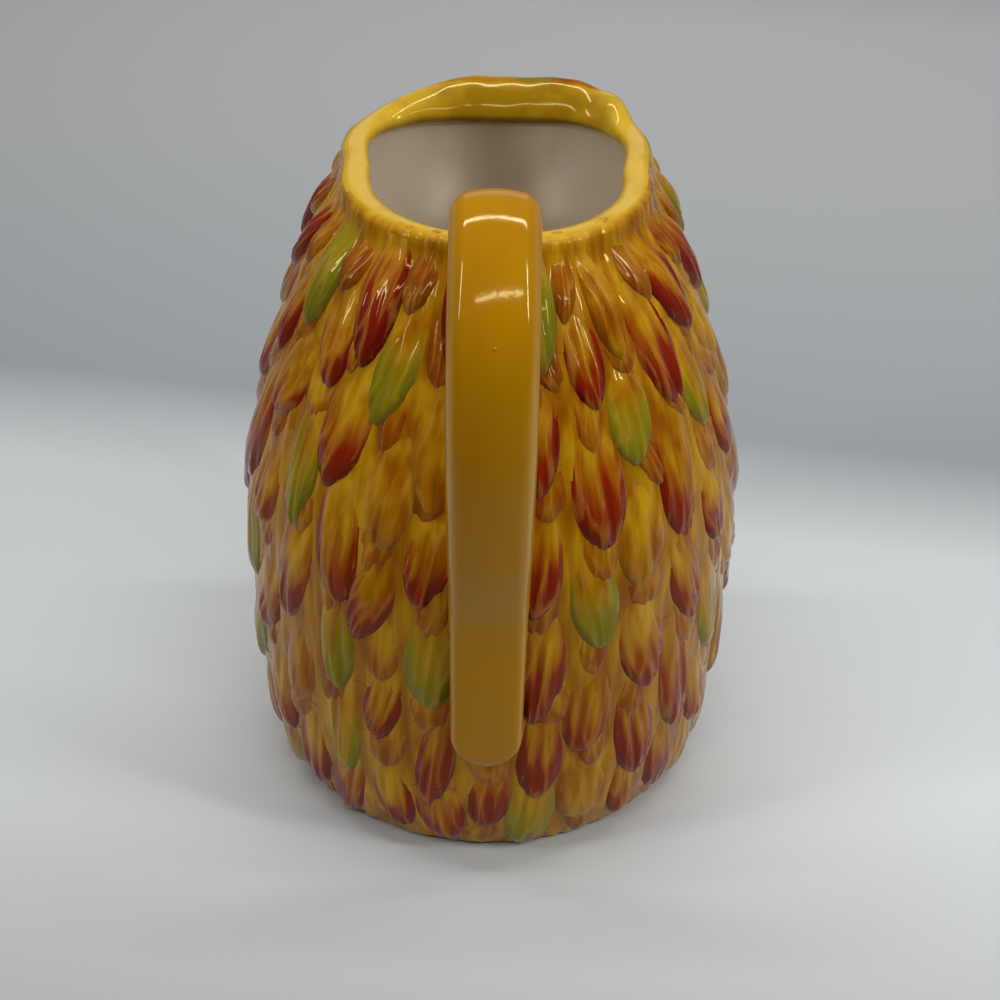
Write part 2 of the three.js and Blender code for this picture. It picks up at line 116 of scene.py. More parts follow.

# The two soft bulges inside the wall behind the face, and the hollow of the brow between them, with the
# shade painted in that hollow and the light painted on the bulges
CHEEK_ANGLE = 0.42
CHEEK_BREADTH = 0.18
CHEEK_HEIGHT = 166 * MM
CHEEK_TALLNESS = 14 * MM
CHEEK_BULGE = 7 * MM
BROW_BREADTH = 0.34
BROW_FROM = 155 * MM
BROW_FULL = 195 * MM
BROW_SHADE = 0.5
CHEEK_LIGHT = 0.3

# Shares by which the rings of the inner floor are drawn in, and by which its corner is rounded
FLOOR_INSETS = (0.0, 0.02, 0.08, 0.5)
FLOOR_CORNER = 0.08

# Points of the strap between its main ones, as shares of the way between them, out and down
RISE_SHARES = (0.3, 0.62)
SHOULDER_SHARES = (0.76, 0.4)
LOWER_SHARES = (0.42, 0.55)
# Share of the strap at which its taper begins, and what it loses: of its crown along the tongue, and of its
# thickness at the tip
TAPER_FROM = 0.5
TONGUE_FLATNESS = 0.75
TIP_THINNING = 0.45

# Furrows combed in the slip, round the jug and down it, and how far the slip climbs the rim at the front
FURROWS_ROUND = 26
FURROWS_DOWN = 30
FRONT_DRAPE = 0.45
# Runs along the slip: of the furrows and of the drape from its upper edge down, of the drape up to the rim,
# and of the yellow above the wall's top
COMB_RUN = (-1 * MM, 6 * MM)
DRAPE_RUN = (-1.5 * MM, 4 * MM)
DRAPE_CLIMB = 10 * MM
CREST_RUN = (4 * MM, 8 * MM)

# A small quill between two others, as shares of a full one, and how much of its paint is thin
SMALL_WIDTH = 0.8
SMALL_RELIEF = 0.55
SMALL_PALE = 0.55

# Where a quill's width is measured, as a share of the way from its middle to its tip
WIDEST_SHARE = 0.4
# Strides by which a place and a direction on the quills' bed are felt out, down it and round it
FELT_DOWN = 1 * MM
FELT_ROUND = 0.01
# Ridges of a quill: how many cross it and run along it, how unlike two quills' are, and how steep
RIDGES_ACROSS = 4.5
RIDGES_ALONG = 1.4
RIDGES_UNLIKE = 60.0
RIDGES_STEEP = 4.0
# Stride that makes a quill's bend unlike its tint, and the step between the seeds of the random values
BEND_STRIDE = 7.31
SEED_STEP = 100.0

# How soon the first row turns red, and how much of the rim's yellow is over its roots
FIRST_ROW_EARLY = 0.2

# Glaze: the tint of its gloss, and the bubbles and the strength of the ripple in its surface
GLOSS_TINT = (1.0, 0.86, 0.42)
BUBBLE_SCALE = 70.0
BUBBLE_EDGE = (0.01, 0.045)
RIPPLE_STRENGTH = 0.6

# Strides that keep neighbouring quills unlike
ROW_STRIDE = 12.9898
QUILL_STRIDE = 78.233
TRAIT_STRIDE = 37.719
SCATTER = 43758.5453

# Which quills of each row are green and which stay nearly gold, counted round from the handle's side
GREEN_QUILLS = {
    1: (2, 6, 9, 13),
    2: (1, 5, 10),
    3: (4, 8, 11, 12),
    4: (2, 6, 10),
    5: (4, 8),
    6: (3, 9, 13),
    7: (0, 1, 5, 11),
    8: (3, 7, 10),
    9: (1, 6, 9),
    10: (4, 8, 11),
    11: (2, 6, 9, 13),
}
PALE_QUILLS = {
    1: (5, 12),
    2: (4, 11),
    3: (0, 10),
    4: (1, 7),
    5: (9, 12),
    6: (6, 11),
    7: (3, 8),
    8: (2, 11),
    9: (4, 10),
    10: (6, 13),
    11: (4, 11),
}


def size(name, millimetres, description):
    return FloatProperty(
        name=name, description=description, default=millimetres * MM, unit="LENGTH", precision=4
    )


def share(name, value, description):
    return FloatProperty(name=name, description=description, default=value)


def count(name, value, description):
    return IntProperty(name=name, description=description, default=value)


def power(name, watts, description):
    return FloatProperty(name=name, description=description, default=watts, unit="POWER")


def turn(name, degrees, description):
    return FloatProperty(
        name=name, description=description, default=math.radians(degrees), subtype="ANGLE"
    )


def colour(name, values, description):
    return FloatVectorProperty(
        name=name, description=description, default=values, subtype="COLOR", size=3, min=0, max=1
    )


class JugSizes(bpy.types.PropertyGroup):
    """Sizes of the jug's wall, its rim and its pouring lip."""

    foot_radius: size("Foot radius", 62.5, "Outer radius of the wall at the table")
    belly_radius: size("Belly radius", 75.7, "Outer radius of the wall at its widest")
    belly_height: size("Belly height", 100, "Height at which the wall is widest")
    neck_radius: size("Neck radius", 42.3, "Outer radius of the wall at the rim's height")
    foot_rounding: share("Foot rounding", 3.8, "How squarely the wall turns in to its foot")
    shoulder_rounding: share("Shoulder rounding", 1.62, "How roundly the wall turns in to its neck")
    wall: size("Wall", 4, "Thickness of the wall")
    floor: size("Floor", 6, "Thickness of the floor")
    ground: size("Ground", 3.0, "Thickness of the slip in which the quills are set")
    front_rise: size("Front rise", 11, "How much higher the neck is at the front")
    rise_sharpness: share("Rise sharpness", 1.3, "How far the rise keeps to the front")
    corner_bulge: size("Corner bulge", 10, "How far the mouth is drawn out at its two front corners")
    drawn_from: size("Drawn from", 120, "Height from which the neck is drawn up and out")
    rim_height: size("Rim height", 200.5, "Height of the rim's top on the handle's side")
    mouth_radius: size("Mouth radius", 37.5, "Radius of the mouth inside the rim")
    rim_width: size("Rim width", 8.5, "Width of the rolled rim")
    rim_depth: size("Rim depth", 5.5, "Depth of the rolled rim")
    rim_rounding: share("Rim rounding", 2.3, "How square the rim's section is")
    lip_span: turn("Lip span", 104, "Angle that the pouring lip takes up")
    lip_rise: size("Lip rise", 10, "Height of the lip above the rim")
    lip_flare: size("Lip flare", 3, "How far the lip leans out")
    lip_level: share("Level lip", 0.31, "Share of the lip that is level")
    lip_skew: share("Lip skew", 0.19, "How much farther the lip stays level on the right")
    lip_steepness: share("Lip steepness", 0.7, "How soon the lip rises from its inner edge")
    knob: size("Knob", 4, "How far the rim swells where the lip ends on the right")


class QuillSizes(bpy.types.PropertyGroup):
    """Sizes of the quills and of their spread over the wall."""

    rows: count("Rows", 11, "Rows of quills from the neck to the foot")
    per_row: count("Quills per row", 14, "Quills in one row")
    point: size("Point", 13, "How far a quill's tip hangs below its row")
    length: size("Length", 44, "Length of a quill from its root to its tip")
    over_rim: size("Over the rim", 9, "How far the first roots reach up over the rim")
    width_share: share("Width share", 1.16, "Width of a quill as a share of the room that it has")
    between: size("Between", 12, "How far the small quills end above the tips beside them")
    between_length: size("Between length", 27, "Length of the small quills")
    comb: size("Comb", 1.0, "Height of the furrows combed down the slip")
    drape: size("Drape", 0.7, "Thickness of the slip where it is drawn up over the rim")
    relief: size("Relief", 2.7, "Height of a quill's tip above its root")
    ridge: size("Ridge", 1.6, "Height of the ridges that run along a quill")
    sway: size("Sway", 4, "Most that a quill's tip is set to a side, at the belly")
    sweep: turn("Sweep", 14, "How far the quills at the sides lean away from the handle")
    stagger: size("Stagger", 2.5, "Most that a quill's tip is above or below its row")
    curl: size("Curl", 4, "How far a quill's tip bends to a side")
    lift: size("Lift", -0.6, "Height of a quill's root above the slip")
    foot_edge: size("Foot edge", 1.5, "Height of the lowest tips above the table")
    tilt: turn("Tilt", 9, "Most that a quill turns from the line of its root and tip")
    spread: share("Spread", 0.24, "How much the quills differ in size")
    seed: count("Seed", 7, "Seed of the quills' differences")


class HandleSizes(bpy.types.PropertyGroup):
    """Sizes of the strap handle."""

    width: size("Width", 24, "Width of the strap")
    end_width: size("End width", 21.5, "Width of the strap's tongue")
    thickness: size("Thickness", 9, "Thickness of the strap at its edges")
    end_thickness: size("End thickness", 6, "Thickness of the strap's tongue")
    corner: size("Corner", 4.9, "Rounding of the strap's edges")
    crown: size("Crown", 2.3, "How far the strap's outer face is crowned")
    top: size("Top", 223, "Height of the loop's top")
    top_reach: size("Top reach", 70, "Distance of the loop's top from the jug's axis")
    reach: size("Reach", 104, "Farthest reach of the loop from the jug's axis")
    reach_height: size("Reach height", 168, "Height of the farthest reach")
    root_height: size("Root height", 184, "Height at which the strap leaves the neck")
    landing_height: size("Landing height", 100, "Height at which the strap meets the belly")
    end_height: size("End height", 47, "Height of the tongue's end")
    seating: size("Seating", 1, "How far the tongue sinks into the quills")


class FaceSizes(bpy.types.PropertyGroup):
    """Sizes of the face at the front."""

    height: size("Height", 143, "Height of the face's middle")
    half_width: size("Half width", 38, "Half of the face's width")
    half_height: size("Half height", 36, "Half of the face's height")
    edge: size("Edge", 2, "Thickness of the face at its edge")
    crown: size("Crown", 6, "Thickness of the face in its middle")
    snout_length: size("Snout length", 24, "Length of the snout")
    snout_base: size("Snout base", 22, "Radius of the snout at the face")
    snout_tip: size("Snout tip", 7, "Radius of the snout at the nose")
    snout_drop: size("Snout drop", 7, "How far the snout is below the face's middle")
    snout_tilt: turn("Snout tilt", 8, "How far the snout points up")
    nose_radius: size("Nose radius", 7.5, "Radius of the nose")
    eye_radius: size("Eye radius", 5.5, "Radius of an eye")
    eye_spacing: size("Eye spacing", 33, "Distance between the eyes")
    eye_rise: size("Eye rise", 13, "Height of the eyes above the face's middle")
    ear_radius: size("Ear radius", 12, "Radius of an ear")
    ear_thickness: size("Ear thickness", 5, "Thickness of an ear")
    ear_angle: turn("Ear angle", 37, "Angle of an ear from the front")
    ear_height: size("Ear height", 177, "Height of an ear's middle on the round shape")
    ear_standoff: size("Ear stand-off", 9.1, "Distance of an ear's middle from the wall")
    ear_tilt: turn("Ear tilt", 24, "How far an ear faces up")
    ear_stalk: share("Ear stalk", 0.7, "Breadth of an ear's stalk as a share of the ear")


class GlazeColours(bpy.types.PropertyGroup):
    """Colours of the glazes."""

    gold: colour("Gold", (0.41, 0.175, 0.002), "Gold of the ground")
    # Amber also paints the shade in the furrows between ridges, on the quills and on the slip.
    amber: colour("Amber", (0.30, 0.090, 0.001), "Gold where the glaze has pooled")
    straw: colour("Straw", (0.57, 0.305, 0.008), "Gold where the glaze is thin")
    # Pooled is the dark gold of the shade painted in the hollow of the lip's inner face.
    yellow: colour("Yellow", (0.62, 0.38, 0.025), "Yellow of the rim and the lip")
    pooled: colour("Pooled", (0.29, 0.155, 0.003), "Dark gold in the hollow of the lip")
    honey: colour("Honey", (0.44, 0.205, 0.001), "Honey yellow of the handle")
    # Honey edge lightens the strap's edges: thin glaze there, and a painted sheen.
    honey_edge_and_sheen: colour("Honey edge", (0.66, 0.40, 0.10), "Thin glaze along the handle's edges")
    orange: colour("Orange", (0.33, 0.058, 0.003), "Orange between a quill's root and its tip")
    red: colour("Red", (0.25, 0.018, 0.003), "Red of a quill's tip")
    maroon: colour("Maroon", (0.15, 0.005, 0.004), "Darkest red at a quill's point")
    green: colour("Green", (0.30, 0.23, 0.006), "Green of a green quill's tip")
    moss: colour("Moss", (0.16, 0.15, 0.008), "Darkest green at a quill's point")
    # Pale lightens the quills' ridge crests: thinner glaze there, and a painted sheen.
    pale: colour("Pale", (0.62, 0.33, 0.05), "Thin glaze along a quill's edges")
    white: colour("White", (0.98, 0.87, 0.71), "Off-white inside the jug")
    # Clay is also the colour of the shade painted in the brow's hollow inside the jug.
    clay: colour("Clay", (0.30, 0.20, 0.09), "Clay that shows through the thin white inside")
    cream: colour("Cream", (0.70, 0.47, 0.20), "Cream of the face")
    tan: colour("Tan", (0.48, 0.20, 0.03), "Tan brushed round the face's edge")
    black: colour("Black", (0.010, 0.007, 0.006), "Black of the nose and the eyes")


class StudioSettings(bpy.types.PropertyGroup):
    """Camera, floor, backdrop and lamps."""

    camera_distance: size("Camera distance", 546, "Distance of the camera from the pitcher's middle")
    camera_rise: turn("Camera rise", 30, "Angle of the camera above the table")
    camera_roll: turn("Camera roll", 1.2, "Roll of the camera")
    target: FloatVectorProperty(
        name="Target",
        description="Point of the pitcher at the middle of the picture",
        default=(-0.0031, 0.0040, 0.0932),
        subtype="XYZ",
        unit="LENGTH",
    )
    lens: FloatProperty(name="Lens", description="Focal length", default=59.8, unit="CAMERA")
    floor_colour: colour("Floor", (0.74, 0.77, 0.77), "Pale floor")
    front_colour: colour("Front", (0.34, 0.27, 0.12), "Wood in front of the picture")
    near_colour: colour("Near", (0.33, 0.33, 0.32), "Shaded floor at the picture's lower edge")
    # Painted shade where the floor folds up into the backdrop.
    fold_colour: colour("Fold", (0.39, 0.41, 0.42), "Grey just behind the floor")
    wall_colour: colour("Wall", (0.93, 0.93, 0.92), "Grey far behind, where less light falls")
    zenith: colour("Zenith", (0.28, 0.29, 0.305), "Light from straight above")
    horizon: colour("Horizon", (0.14, 0.14, 0.145), "Light from the horizon")
    shade: colour("Shade", (0.045, 0.043, 0.040), "Light from the dark room on the handle's side")
    top_power: power("Top", 4.6, "Power of the strip overhead")
    near_power: power("Near", 2.0, "Power of the strip above the camera")
    right_power: power("Right", 3.1, "Power of the strip on the right")
    left_power: power("Left", 1.8, "Power of the strip on the left")
    far_power: power("Far", 0.6, "Power of the panel on the face's side")


class Jug:
    """The jug's outside, by the rule that the solids follow."""

    def __init__(self, sizes):
        self.sizes = sizes
        self.wall_top = sizes.rim_height - sizes.rim_depth - SEAT_GAP
        self.step = self.wall_top / MERIDIAN_STEPS
        self.reached = [0.0]
        for index in range(MERIDIAN_STEPS):
            draw_in = self.radius((index + 1) * self.step) - self.radius(index * self.step)
            self.reached.append(self.reached[-1] + math.hypot(self.step, draw_in))
        self.length = self.reached[-1]

    def radius(self, z):
        """Outer radius of the wall: an egg cut flat by the table, and a shoulder drawn in to the neck."""
        s = self.sizes
        if z < s.belly_height:
            foot_share = (s.foot_radius / s.belly_radius) ** s.foot_rounding
            depth = ((s.belly_height - z) / s.belly_height) ** s.foot_rounding
            return s.belly_radius * (1 - depth * (1 - foot_share)) ** (1 / s.foot_rounding)
        climb = min((z - s.belly_height) / (s.rim_height - s.belly_height), 1.0)
        return s.belly_radius - (s.belly_radius - s.neck_radius) * climb**s.shoulder_rounding

    def skin(self, z, distance):
        """Radius of a skin that lies a distance outside the wall, measured square to it."""
        reach = 0.1 * MM
        slope = (self.radius(z + reach) - self.radius(z - reach)) / (2 * reach)
        return self.radius(z) + distance * math.hypot(1, slope)

    def around(self, angle, radius, z):
        """Point from the round shape, moved up and out by what the neck is drawn at the front."""
        s = self.sizes
        drawn = smooth_step(z, s.drawn_from, s.rim_height)
        front_share = ((1 - math.cos(angle)) / 2) ** s.rise_sharpness
        corner_share = math.sin(2 * angle) ** 2 if math.cos(angle) < 0 else 0.0
        full = radius + s.corner_bulge * corner_share * drawn
        height = z + s.front_rise * front_share * drawn
        return Vector((full * math.sin(angle), full * math.cos(angle), height))

    def height_at(self, length):
        """Height of a place that lies a length along the wall from the foot."""
        index = min(max(bisect.bisect_left(self.reached, length), 1), MERIDIAN_STEPS)
        low = self.reached[index - 1]
        along = (length - low) / (self.reached[index] - low)
        return (index - 1 + along) * self.step

    def slip(self, z):
        """Thickness of the slip on the wall, which thins at the foot and is flush with the rim."""
        foot = smooth_step(z, -FOOT_RUN, FOOT_RUN)
        neck = smooth_step(z, self.wall_top - NECK_RUN, self.wall_top)
        return mix(self.sizes.ground * foot, NECK_SLIP, neck)

    def lip_share(self, angle):
        """1 along the level top of the pouring lip, and 0 round the rest of the rim."""
        side = math.remainder(angle - FRONT, FULL_TURN) / (self.sizes.lip_span / 2)
        level = self.sizes.lip_level + math.copysign(self.sizes.lip_skew, side)
        return 1 - smooth_step(abs(side), level, 1.0)

    def rim_point(self, angle, turned):
        """Point of the rim's section, turned from its outermost place up over its top.

        Its lower outer corner is nearly square, so that the rim runs down into the wall.
        """
        s = self.sizes
        angle %= FULL_TURN
        parts = (math.cos(turned), math.sin(turned))
        rounding = RIM_FOOT_ROUNDING if parts[0] > 0 and parts[1] < 0 else s.rim_rounding
        full = sum(abs(part) ** rounding for part in parts) ** (-1 / rounding)
        across, up = (part * full for part in parts)
        lip = self.lip_share(angle) * ((1 + across) / 2) ** s.lip_steepness * (1 + up) / 2
        grown = s.knob * hill(angle, FRONT + KNOB_PLACE * s.lip_span, KNOB_BREADTH)
        radius = s.mouth_radius + (1 + across) * s.rim_width / 2 + s.lip_flare * lip
        radius += grown * max(across, 0.0) * KNOB_OUT
        point = self.around(angle, radius, s.rim_height - (1 - up) * s.rim_depth / 2)
        point.z += s.lip_rise * lip + grown * max(up, 0.0)
        return point

    def bed(self, angle, length):
        """Place on which a quill lies: the wall's face, and above it the outer half of the rim."""
        if length <= self.length:
            z = self.height_at(length)
            return self.around(angle, self.skin(z, self.slip(z)), z)
        over = min((length - self.length) / RIM_ARC, 1.0)
        return self.rim_point(angle, mix(RIM_FROM, math.pi / 2, over))


def mix(first, second, along):
    return first + (second - first) * along


def smooth_step(value, low, high):
    along = min(max((value - low) / (high - low), 0.0), 1.0)
    return along * along * (3 - 2 * along)


def evenly(first, last, count):
    return [mix(first, last, index / (count - 1)) for index in range(count)]


def turns(count):
    return [FULL_TURN * index / count for index in range(count)]


def hill(value, middle, width):
    """Smooth bump of height 1 round a middle."""
    return math.exp(-(((value - middle) / width) ** 2))


def loft(name, loops, joined=False, marks=None):
    """Object through like loops of points: joined end to end, or closed by a fan at each end.

    The marks are numbers for the material to read: by name, one for each point of each loop.
    """
    mesh = bmesh.new()
    marks = marks or {}
    for mark_name in marks:
        mesh.verts.layers.float.new(mark_name)
    rings = [[mesh.verts.new(point) for point in loop] for loop in loops]
    for mark_name, values in marks.items():
        layer = mesh.verts.layers.float[mark_name]
        for ring, ring_values in zip(rings, values):
            for vert, value in zip(ring, ring_values):
                vert[layer] = value
    pairs = list(zip(rings, rings[1:]))
    if joined:
        pairs.append((rings[-1], rings[0]))
    for ring, after in pairs:
        for index in range(len(ring)):
            beside = (index + 1) % len(ring)
            mesh.faces.new((ring[index], ring[beside], after[beside], after[index]))
    if not joined:
        for ring in (rings[0], rings[-1]):
            middle = mesh.verts.new(sum((vert.co for vert in ring), Vector()) / len(ring))
            for layer in mesh.verts.layers.float.values():
                middle[layer] = ring[0][layer]
            for index in range(len(ring)):
                mesh.faces.new((ring[index], ring[(index + 1) % len(ring)], middle))
    return finished(name, mesh)


def finished(name, mesh):
    """Object of a closed bmesh, its doubles merged, its faces outwards and its sharp edges kept."""
    bmesh.ops.remove_doubles(mesh, verts=mesh.verts, dist=1e-7)
    bmesh.ops.recalc_face_normals(mesh, faces=mesh.faces)
    for face in mesh.faces:
        face.smooth = True
    for edge in mesh.edges:
        edge.smooth = edge.calc_face_angle(0.0) < SHARP_ANGLE
    return as_object(name, mesh)


def as_object(name, mesh):
    """Object of a bmesh, which is then freed."""
    data = bpy.data.meshes.new(name)
    mesh.to_mesh(data)
    mesh.free()
    return linked(name, data)


def linked(name, data):
    """Object of the given data, linked to the scene."""
    made = bpy.data.objects.new(name, data)
    bpy.context.collection.objects.link(made)
    return made


def mark(piece, name, value_of):
    """Gives each point of a piece a number for its material to read."""
    layer = piece.data.attributes.new(name, "FLOAT", "POINT")
    layer.data.foreach_set("value", [value_of(vert.co) for vert in piece.data.vertices])


def settle(piece, material, slot, *nodes):
    """Glazes a finished piece and sets it in place of its solids."""
    piece.data.materials.clear()
    piece.data.materials.append(material)
    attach(piece, BODY)
    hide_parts(*nodes)


class Sketch:
    """Short words for building a node tree."""

    def __init__(self, tree):
        self.tree = tree

    def node(self, kind, inputs=None, **settings):
        made = self.tree.nodes.new(kind)
        for name, value in settings.items():
            setattr(made, name, value)
        for name, value in (inputs or {}).items():
            self.put(made.inputs[name], value)
        return made

    def put(self, socket, value):
        if isinstance(value, bpy.types.NodeSocket):
            self.tree.links.new(value, socket)
        elif socket.type == "RGBA" and len(value) == 3:
            socket.default_value = (*value, 1.0)
        else:
            socket.default_value = value

    def math(self, operation, *values):
        made = self.node("ShaderNodeMath", operation=operation)
        for socket, value in zip(made.inputs, values):
            self.put(socket, value)
        return made.outputs[0]

    def plus(self, first, second):
        return self.math("ADD", first, second)

    def minus(self, first, second):
        return self.math("SUBTRACT", first, second)

    def times(self, first, second):
        return self.math("MULTIPLY", first, second)

    def line(self, value, slope, start):
        """The start, and a slope's worth of the value on top of it."""
        return self.math("MULTIPLY_ADD", value, slope, start)

    def sway(self, value, amount, start):
        """The start, moved to either side by a value whose middle is a half."""
        return self.line(self.minus(value, 0.5), amount, start)

    def limit(self, value):
        return self.node("ShaderNodeClamp", {"Value": value}).outputs[0]

    def vector(self, x, y, z):
        return self.node("ShaderNodeCombineXYZ", {"X": x, "Y": y, "Z": z}).outputs["Vector"]

    def parts(self, vector):
        return self.node("ShaderNodeSeparateXYZ", {"Vector": vector}).outputs

    def blend(self, factor, first, second):
        made = self.node("ShaderNodeMix", data_type="RGBA")
        self.put(made.inputs[0], factor)
        self.put(made.inputs[6], first)
        self.put(made.inputs[7], second)
        return made.outputs[2]

    def ramp(self, factor, stops):
        made = self.node("ShaderNodeValToRGB", {"Fac": factor})
        elements = made.color_ramp.elements
        while len(elements) < len(stops):
            elements.new(1.0)
        for element, (position, tone) in zip(elements, stops):
            element.position = position
            element.color = (*tone, 1.0)
        return made.outputs["Color"]

    def rise(self, value, low, high):
        """0 below the low value, 1 above the high one."""
        return self.ramp(value, [(low, (0, 0, 0)), (high, (1, 1, 1))])

    def fall(self, value, low, high):
        """1 below the low value, 0 above the high one."""
        return self.ramp(value, [(low, (1, 1, 1)), (high, (0, 0, 0))])

    def noise(self, vector, scale, detail=2.0, roughness=0.5):
        made = self.node(
            "ShaderNodeTexNoise",
            {"Vector": vector, "Scale": scale, "Detail": detail, "Roughness": roughness},
        )
        return made.outputs["Fac"]

    def mottle(self, stretch, scale, detail=2.0, roughness=0.5):
        """Noise over the object itself, drawn out where the stretch is small."""
        return self.noise(self.place(stretch), scale, detail, roughness)

    def read(self, name, part="Fac"):
        return self.node("ShaderNodeAttribute", attribute_name=name).outputs[part]

    def place(self, stretch=(1, 1, 1)):
        here = self.node("ShaderNodeTexCoord").outputs["Object"]
        return self.node("ShaderNodeMapping", {"Vector": here, "Scale": stretch}).outputs["Vector"]


def glaze(name, tone_of, roughness, ripple=0.15 * MM, ripple_scale=90.0, gloss=0.32, bubbles=0.0):
    """Glossy glaze whose colour comes from nodes, with a faint ripple and tiny bubbles in its surface."""
    material = bpy.data.materials.new(name)
    material.use_nodes = True
    sketch = Sketch(material.node_tree)
    shader = material.node_tree.nodes["Principled BSDF"]
    shader.inputs["Roughness"].default_value = roughness
    shader.inputs["Specular IOR Level"].default_value = gloss
    shader.inputs["Specular Tint"].default_value = (*GLOSS_TINT, 1.0)
    sketch.put(shader.inputs["Base Color"], tone_of(sketch))
    wave = sketch.mottle((1, 1, 0.6), ripple_scale)
    cells = sketch.node("ShaderNodeTexVoronoi", {"Vector": sketch.place(), "Scale": BUBBLE_SCALE})
    bubble = sketch.fall(cells.outputs["Distance"], *BUBBLE_EDGE)
    height = sketch.line(bubble, bubbles, wave)
    relief = {"Height": height, "Distance": ripple, "Strength": RIPPLE_STRENGTH}
    bump = sketch.node("ShaderNodeBump", relief)
    sketch.put(shader.inputs["Normal"], bump.outputs["Normal"])
    return material


def gold_streaks(sketch, colours):
    """Gold that runs from thin and bright to pooled and dark in long streaks down the wall."""
    streak = sketch.mottle((1, 1, 0.2), scale=190.0, roughness=0.45)
    patch = sketch.mottle((1, 1, 0.6), scale=45.0)
    depth = sketch.line(streak, 0.65, sketch.times(patch, 0.35))
    return sketch.ramp(depth, [(0.38, colours.amber), (0.50, colours.gold), (0.64, colours.straw)])


def wall_glaze(colours):
    """Gold outside, and inside an off-white through which the clay shows where it is thin, with painted
    shade in the brow's hollow and painted light on the bulges.
    """

    def tone(sketch):
        stain = sketch.mottle((1, 1, 1), scale=30.0, detail=3.0)
        # Thin white from a random stain, plus shade painted in the brow's hollow and light painted on the
        # bulges.
        thin = sketch.limit(sketch.line(stain, 0.32, sketch.read("hollow")))
        white = sketch.blend(thin, colours.white, colours.clay)
        return sketch.blend(sketch.read("inside"), gold_streaks(sketch, colours), white)

    return glaze("wall_glaze", tone, roughness=0.10)


def rim_glaze(colours):
    """Yellow with strokes of green and red outside, and shade painted in dark gold in the hollow inside the
    lip.
    """

    def tone(sketch):
        streak = sketch.mottle((1, 1, 1), scale=120.0, detail=3.0)
        outer = sketch.read("outer")
        thick = sketch.line(streak, 0.6, outer)
        ground = sketch.ramp(thick, [(0.25, colours.yellow), (0.75, colours.straw), (1.0, colours.gold)])
        stroke = sketch.rise(sketch.mottle((1, 1, 0.3), scale=75.0, detail=1.0), 0.54, 0.62)
        hue = sketch.mottle((1, 1, 0.3), scale=40.0, detail=1.0)
        paint = sketch.ramp(hue, [(0.46, colours.moss), (0.52, colours.red)])
        band = sketch.blend(sketch.times(stroke, outer), ground, paint)
        # Painted shade: dark gold in the hollow of the lip's inner face.
        lip_shade = sketch.limit(sketch.sway(streak, 1.2, sketch.read("pooled")))
        return sketch.blend(lip_shade, band, colours.pooled)

    return glaze("rim_glaze", tone, roughness=0.10)


def strap_glaze(colours):
    """Honey yellow, lighter along the strap's edges, where the glaze is thin and a sheen is painted."""

    def tone(sketch):
        streak = sketch.mottle((1, 0.5, 0.25), scale=60.0, detail=3.0)
        body = sketch.ramp(streak, [(0.3, colours.gold), (0.55, colours.honey)])
        # Edges lightened: thin glaze, and a painted sheen along them.
        edge = sketch.times(sketch.math("POWER", sketch.read("edge"), 6.0), 0.25)
        return sketch.blend(edge, body, colours.honey_edge_and_sheen)

    surface = {"ripple": 0.04 * MM, "ripple_scale": 700.0, "bubbles": 8.0}
    return glaze("strap_glaze", tone, roughness=0.09, gloss=0.36, **surface)


def quill_brushwork(colours):
    """Gold at the root, then orange, red and maroon, or green, in brushed streaks towards the tip."""

    def tone(sketch):
        leaf = sketch.parts(sketch.read("leaf_share", "Vector"))
        across, along = leaf["X"], leaf["Y"]
        ridge = sketch.read("ridge")
        early = sketch.read("early")
        depth = paint_depth(sketch, across, along, ridge, early)
        # Painted shade: amber in the furrows, where the ridge mark is low.
        furrow_shade = sketch.limit(sketch.line(ridge, -1.6, 0.7))
        gold = sketch.blend(furrow_shade, gold_streaks(sketch, colours), colours.amber)
        strong = sketch.ramp(depth, [(0.40, colours.orange), (0.60, colours.red), (0.92, colours.maroon)])
        leafy = sketch.ramp(depth, [(0.45, colours.green), (0.95, colours.moss)])
        painted = sketch.blend(sketch.read("green"), strong, leafy)
        thin = sketch.line(sketch.read("pale"), -0.75, 1.0)
        cover = sketch.times(sketch.rise(depth, 0.28, 0.56), thin)
        body = sketch.blend(cover, gold, painted)
        # Ridge crests turned pale: thinner glaze, and a painted sheen.
        crest = sketch.times(sketch.rise(ridge, 0.80, 0.98), 0.30)
        streaked = sketch.blend(crest, body, colours.pale)
        root = sketch.fall(along, 0.02, 0.12)
        on_rim = sketch.limit(sketch.times(sketch.times(root, early), 1 / FIRST_ROW_EARLY))
        return sketch.blend(on_rim, streaked, colours.yellow)

    surface = {"ripple": 0.2 * MM, "ripple_scale": 140.0, "bubbles": 2.0}
    return glaze("quill_brushwork", tone, roughness=0.06, gloss=0.24, **surface)


def paint_depth(sketch, across, along, ridge, early):
    """How thick the paint lies on a quill: more at its tip, at its edges and in its furrows."""
    tint = sketch.read("tint")
    seat = sketch.vector(
        sketch.line(across, 1.6, sketch.times(tint, 40.0)),
        sketch.line(along, 0.8, sketch.times(tint, 17.0)),
        sketch.times(tint, 90.0),
    )
    streak = sketch.noise(seat, scale=2.2)
    edge = sketch.math("POWER", sketch.math("ABSOLUTE", across), 2.5)
    thick = sketch.line(along, 0.85, sketch.times(edge, 0.50))
    brushed = sketch.sway(streak, 0.40, thick)
    furrowed = sketch.line(sketch.minus(0.4, ridge), 0.22, brushed)
    own = sketch.line(tint, 0.24, sketch.minus(early, 0.12))
    return sketch.plus(furrowed, own)


def face_glaze(colours):
    """Cream, brushed with tan round the edge."""

    def tone(sketch):
        brush = sketch.mottle((1, 1, 0.5), scale=90.0, detail=3.0)
        edge = sketch.sway(brush, 0.5, sketch.read("rim_share"))
        return sketch.ramp(edge, [(0.45, colours.cream), (0.95, colours.tan)])

    return glaze("face_glaze", tone, roughness=0.13)


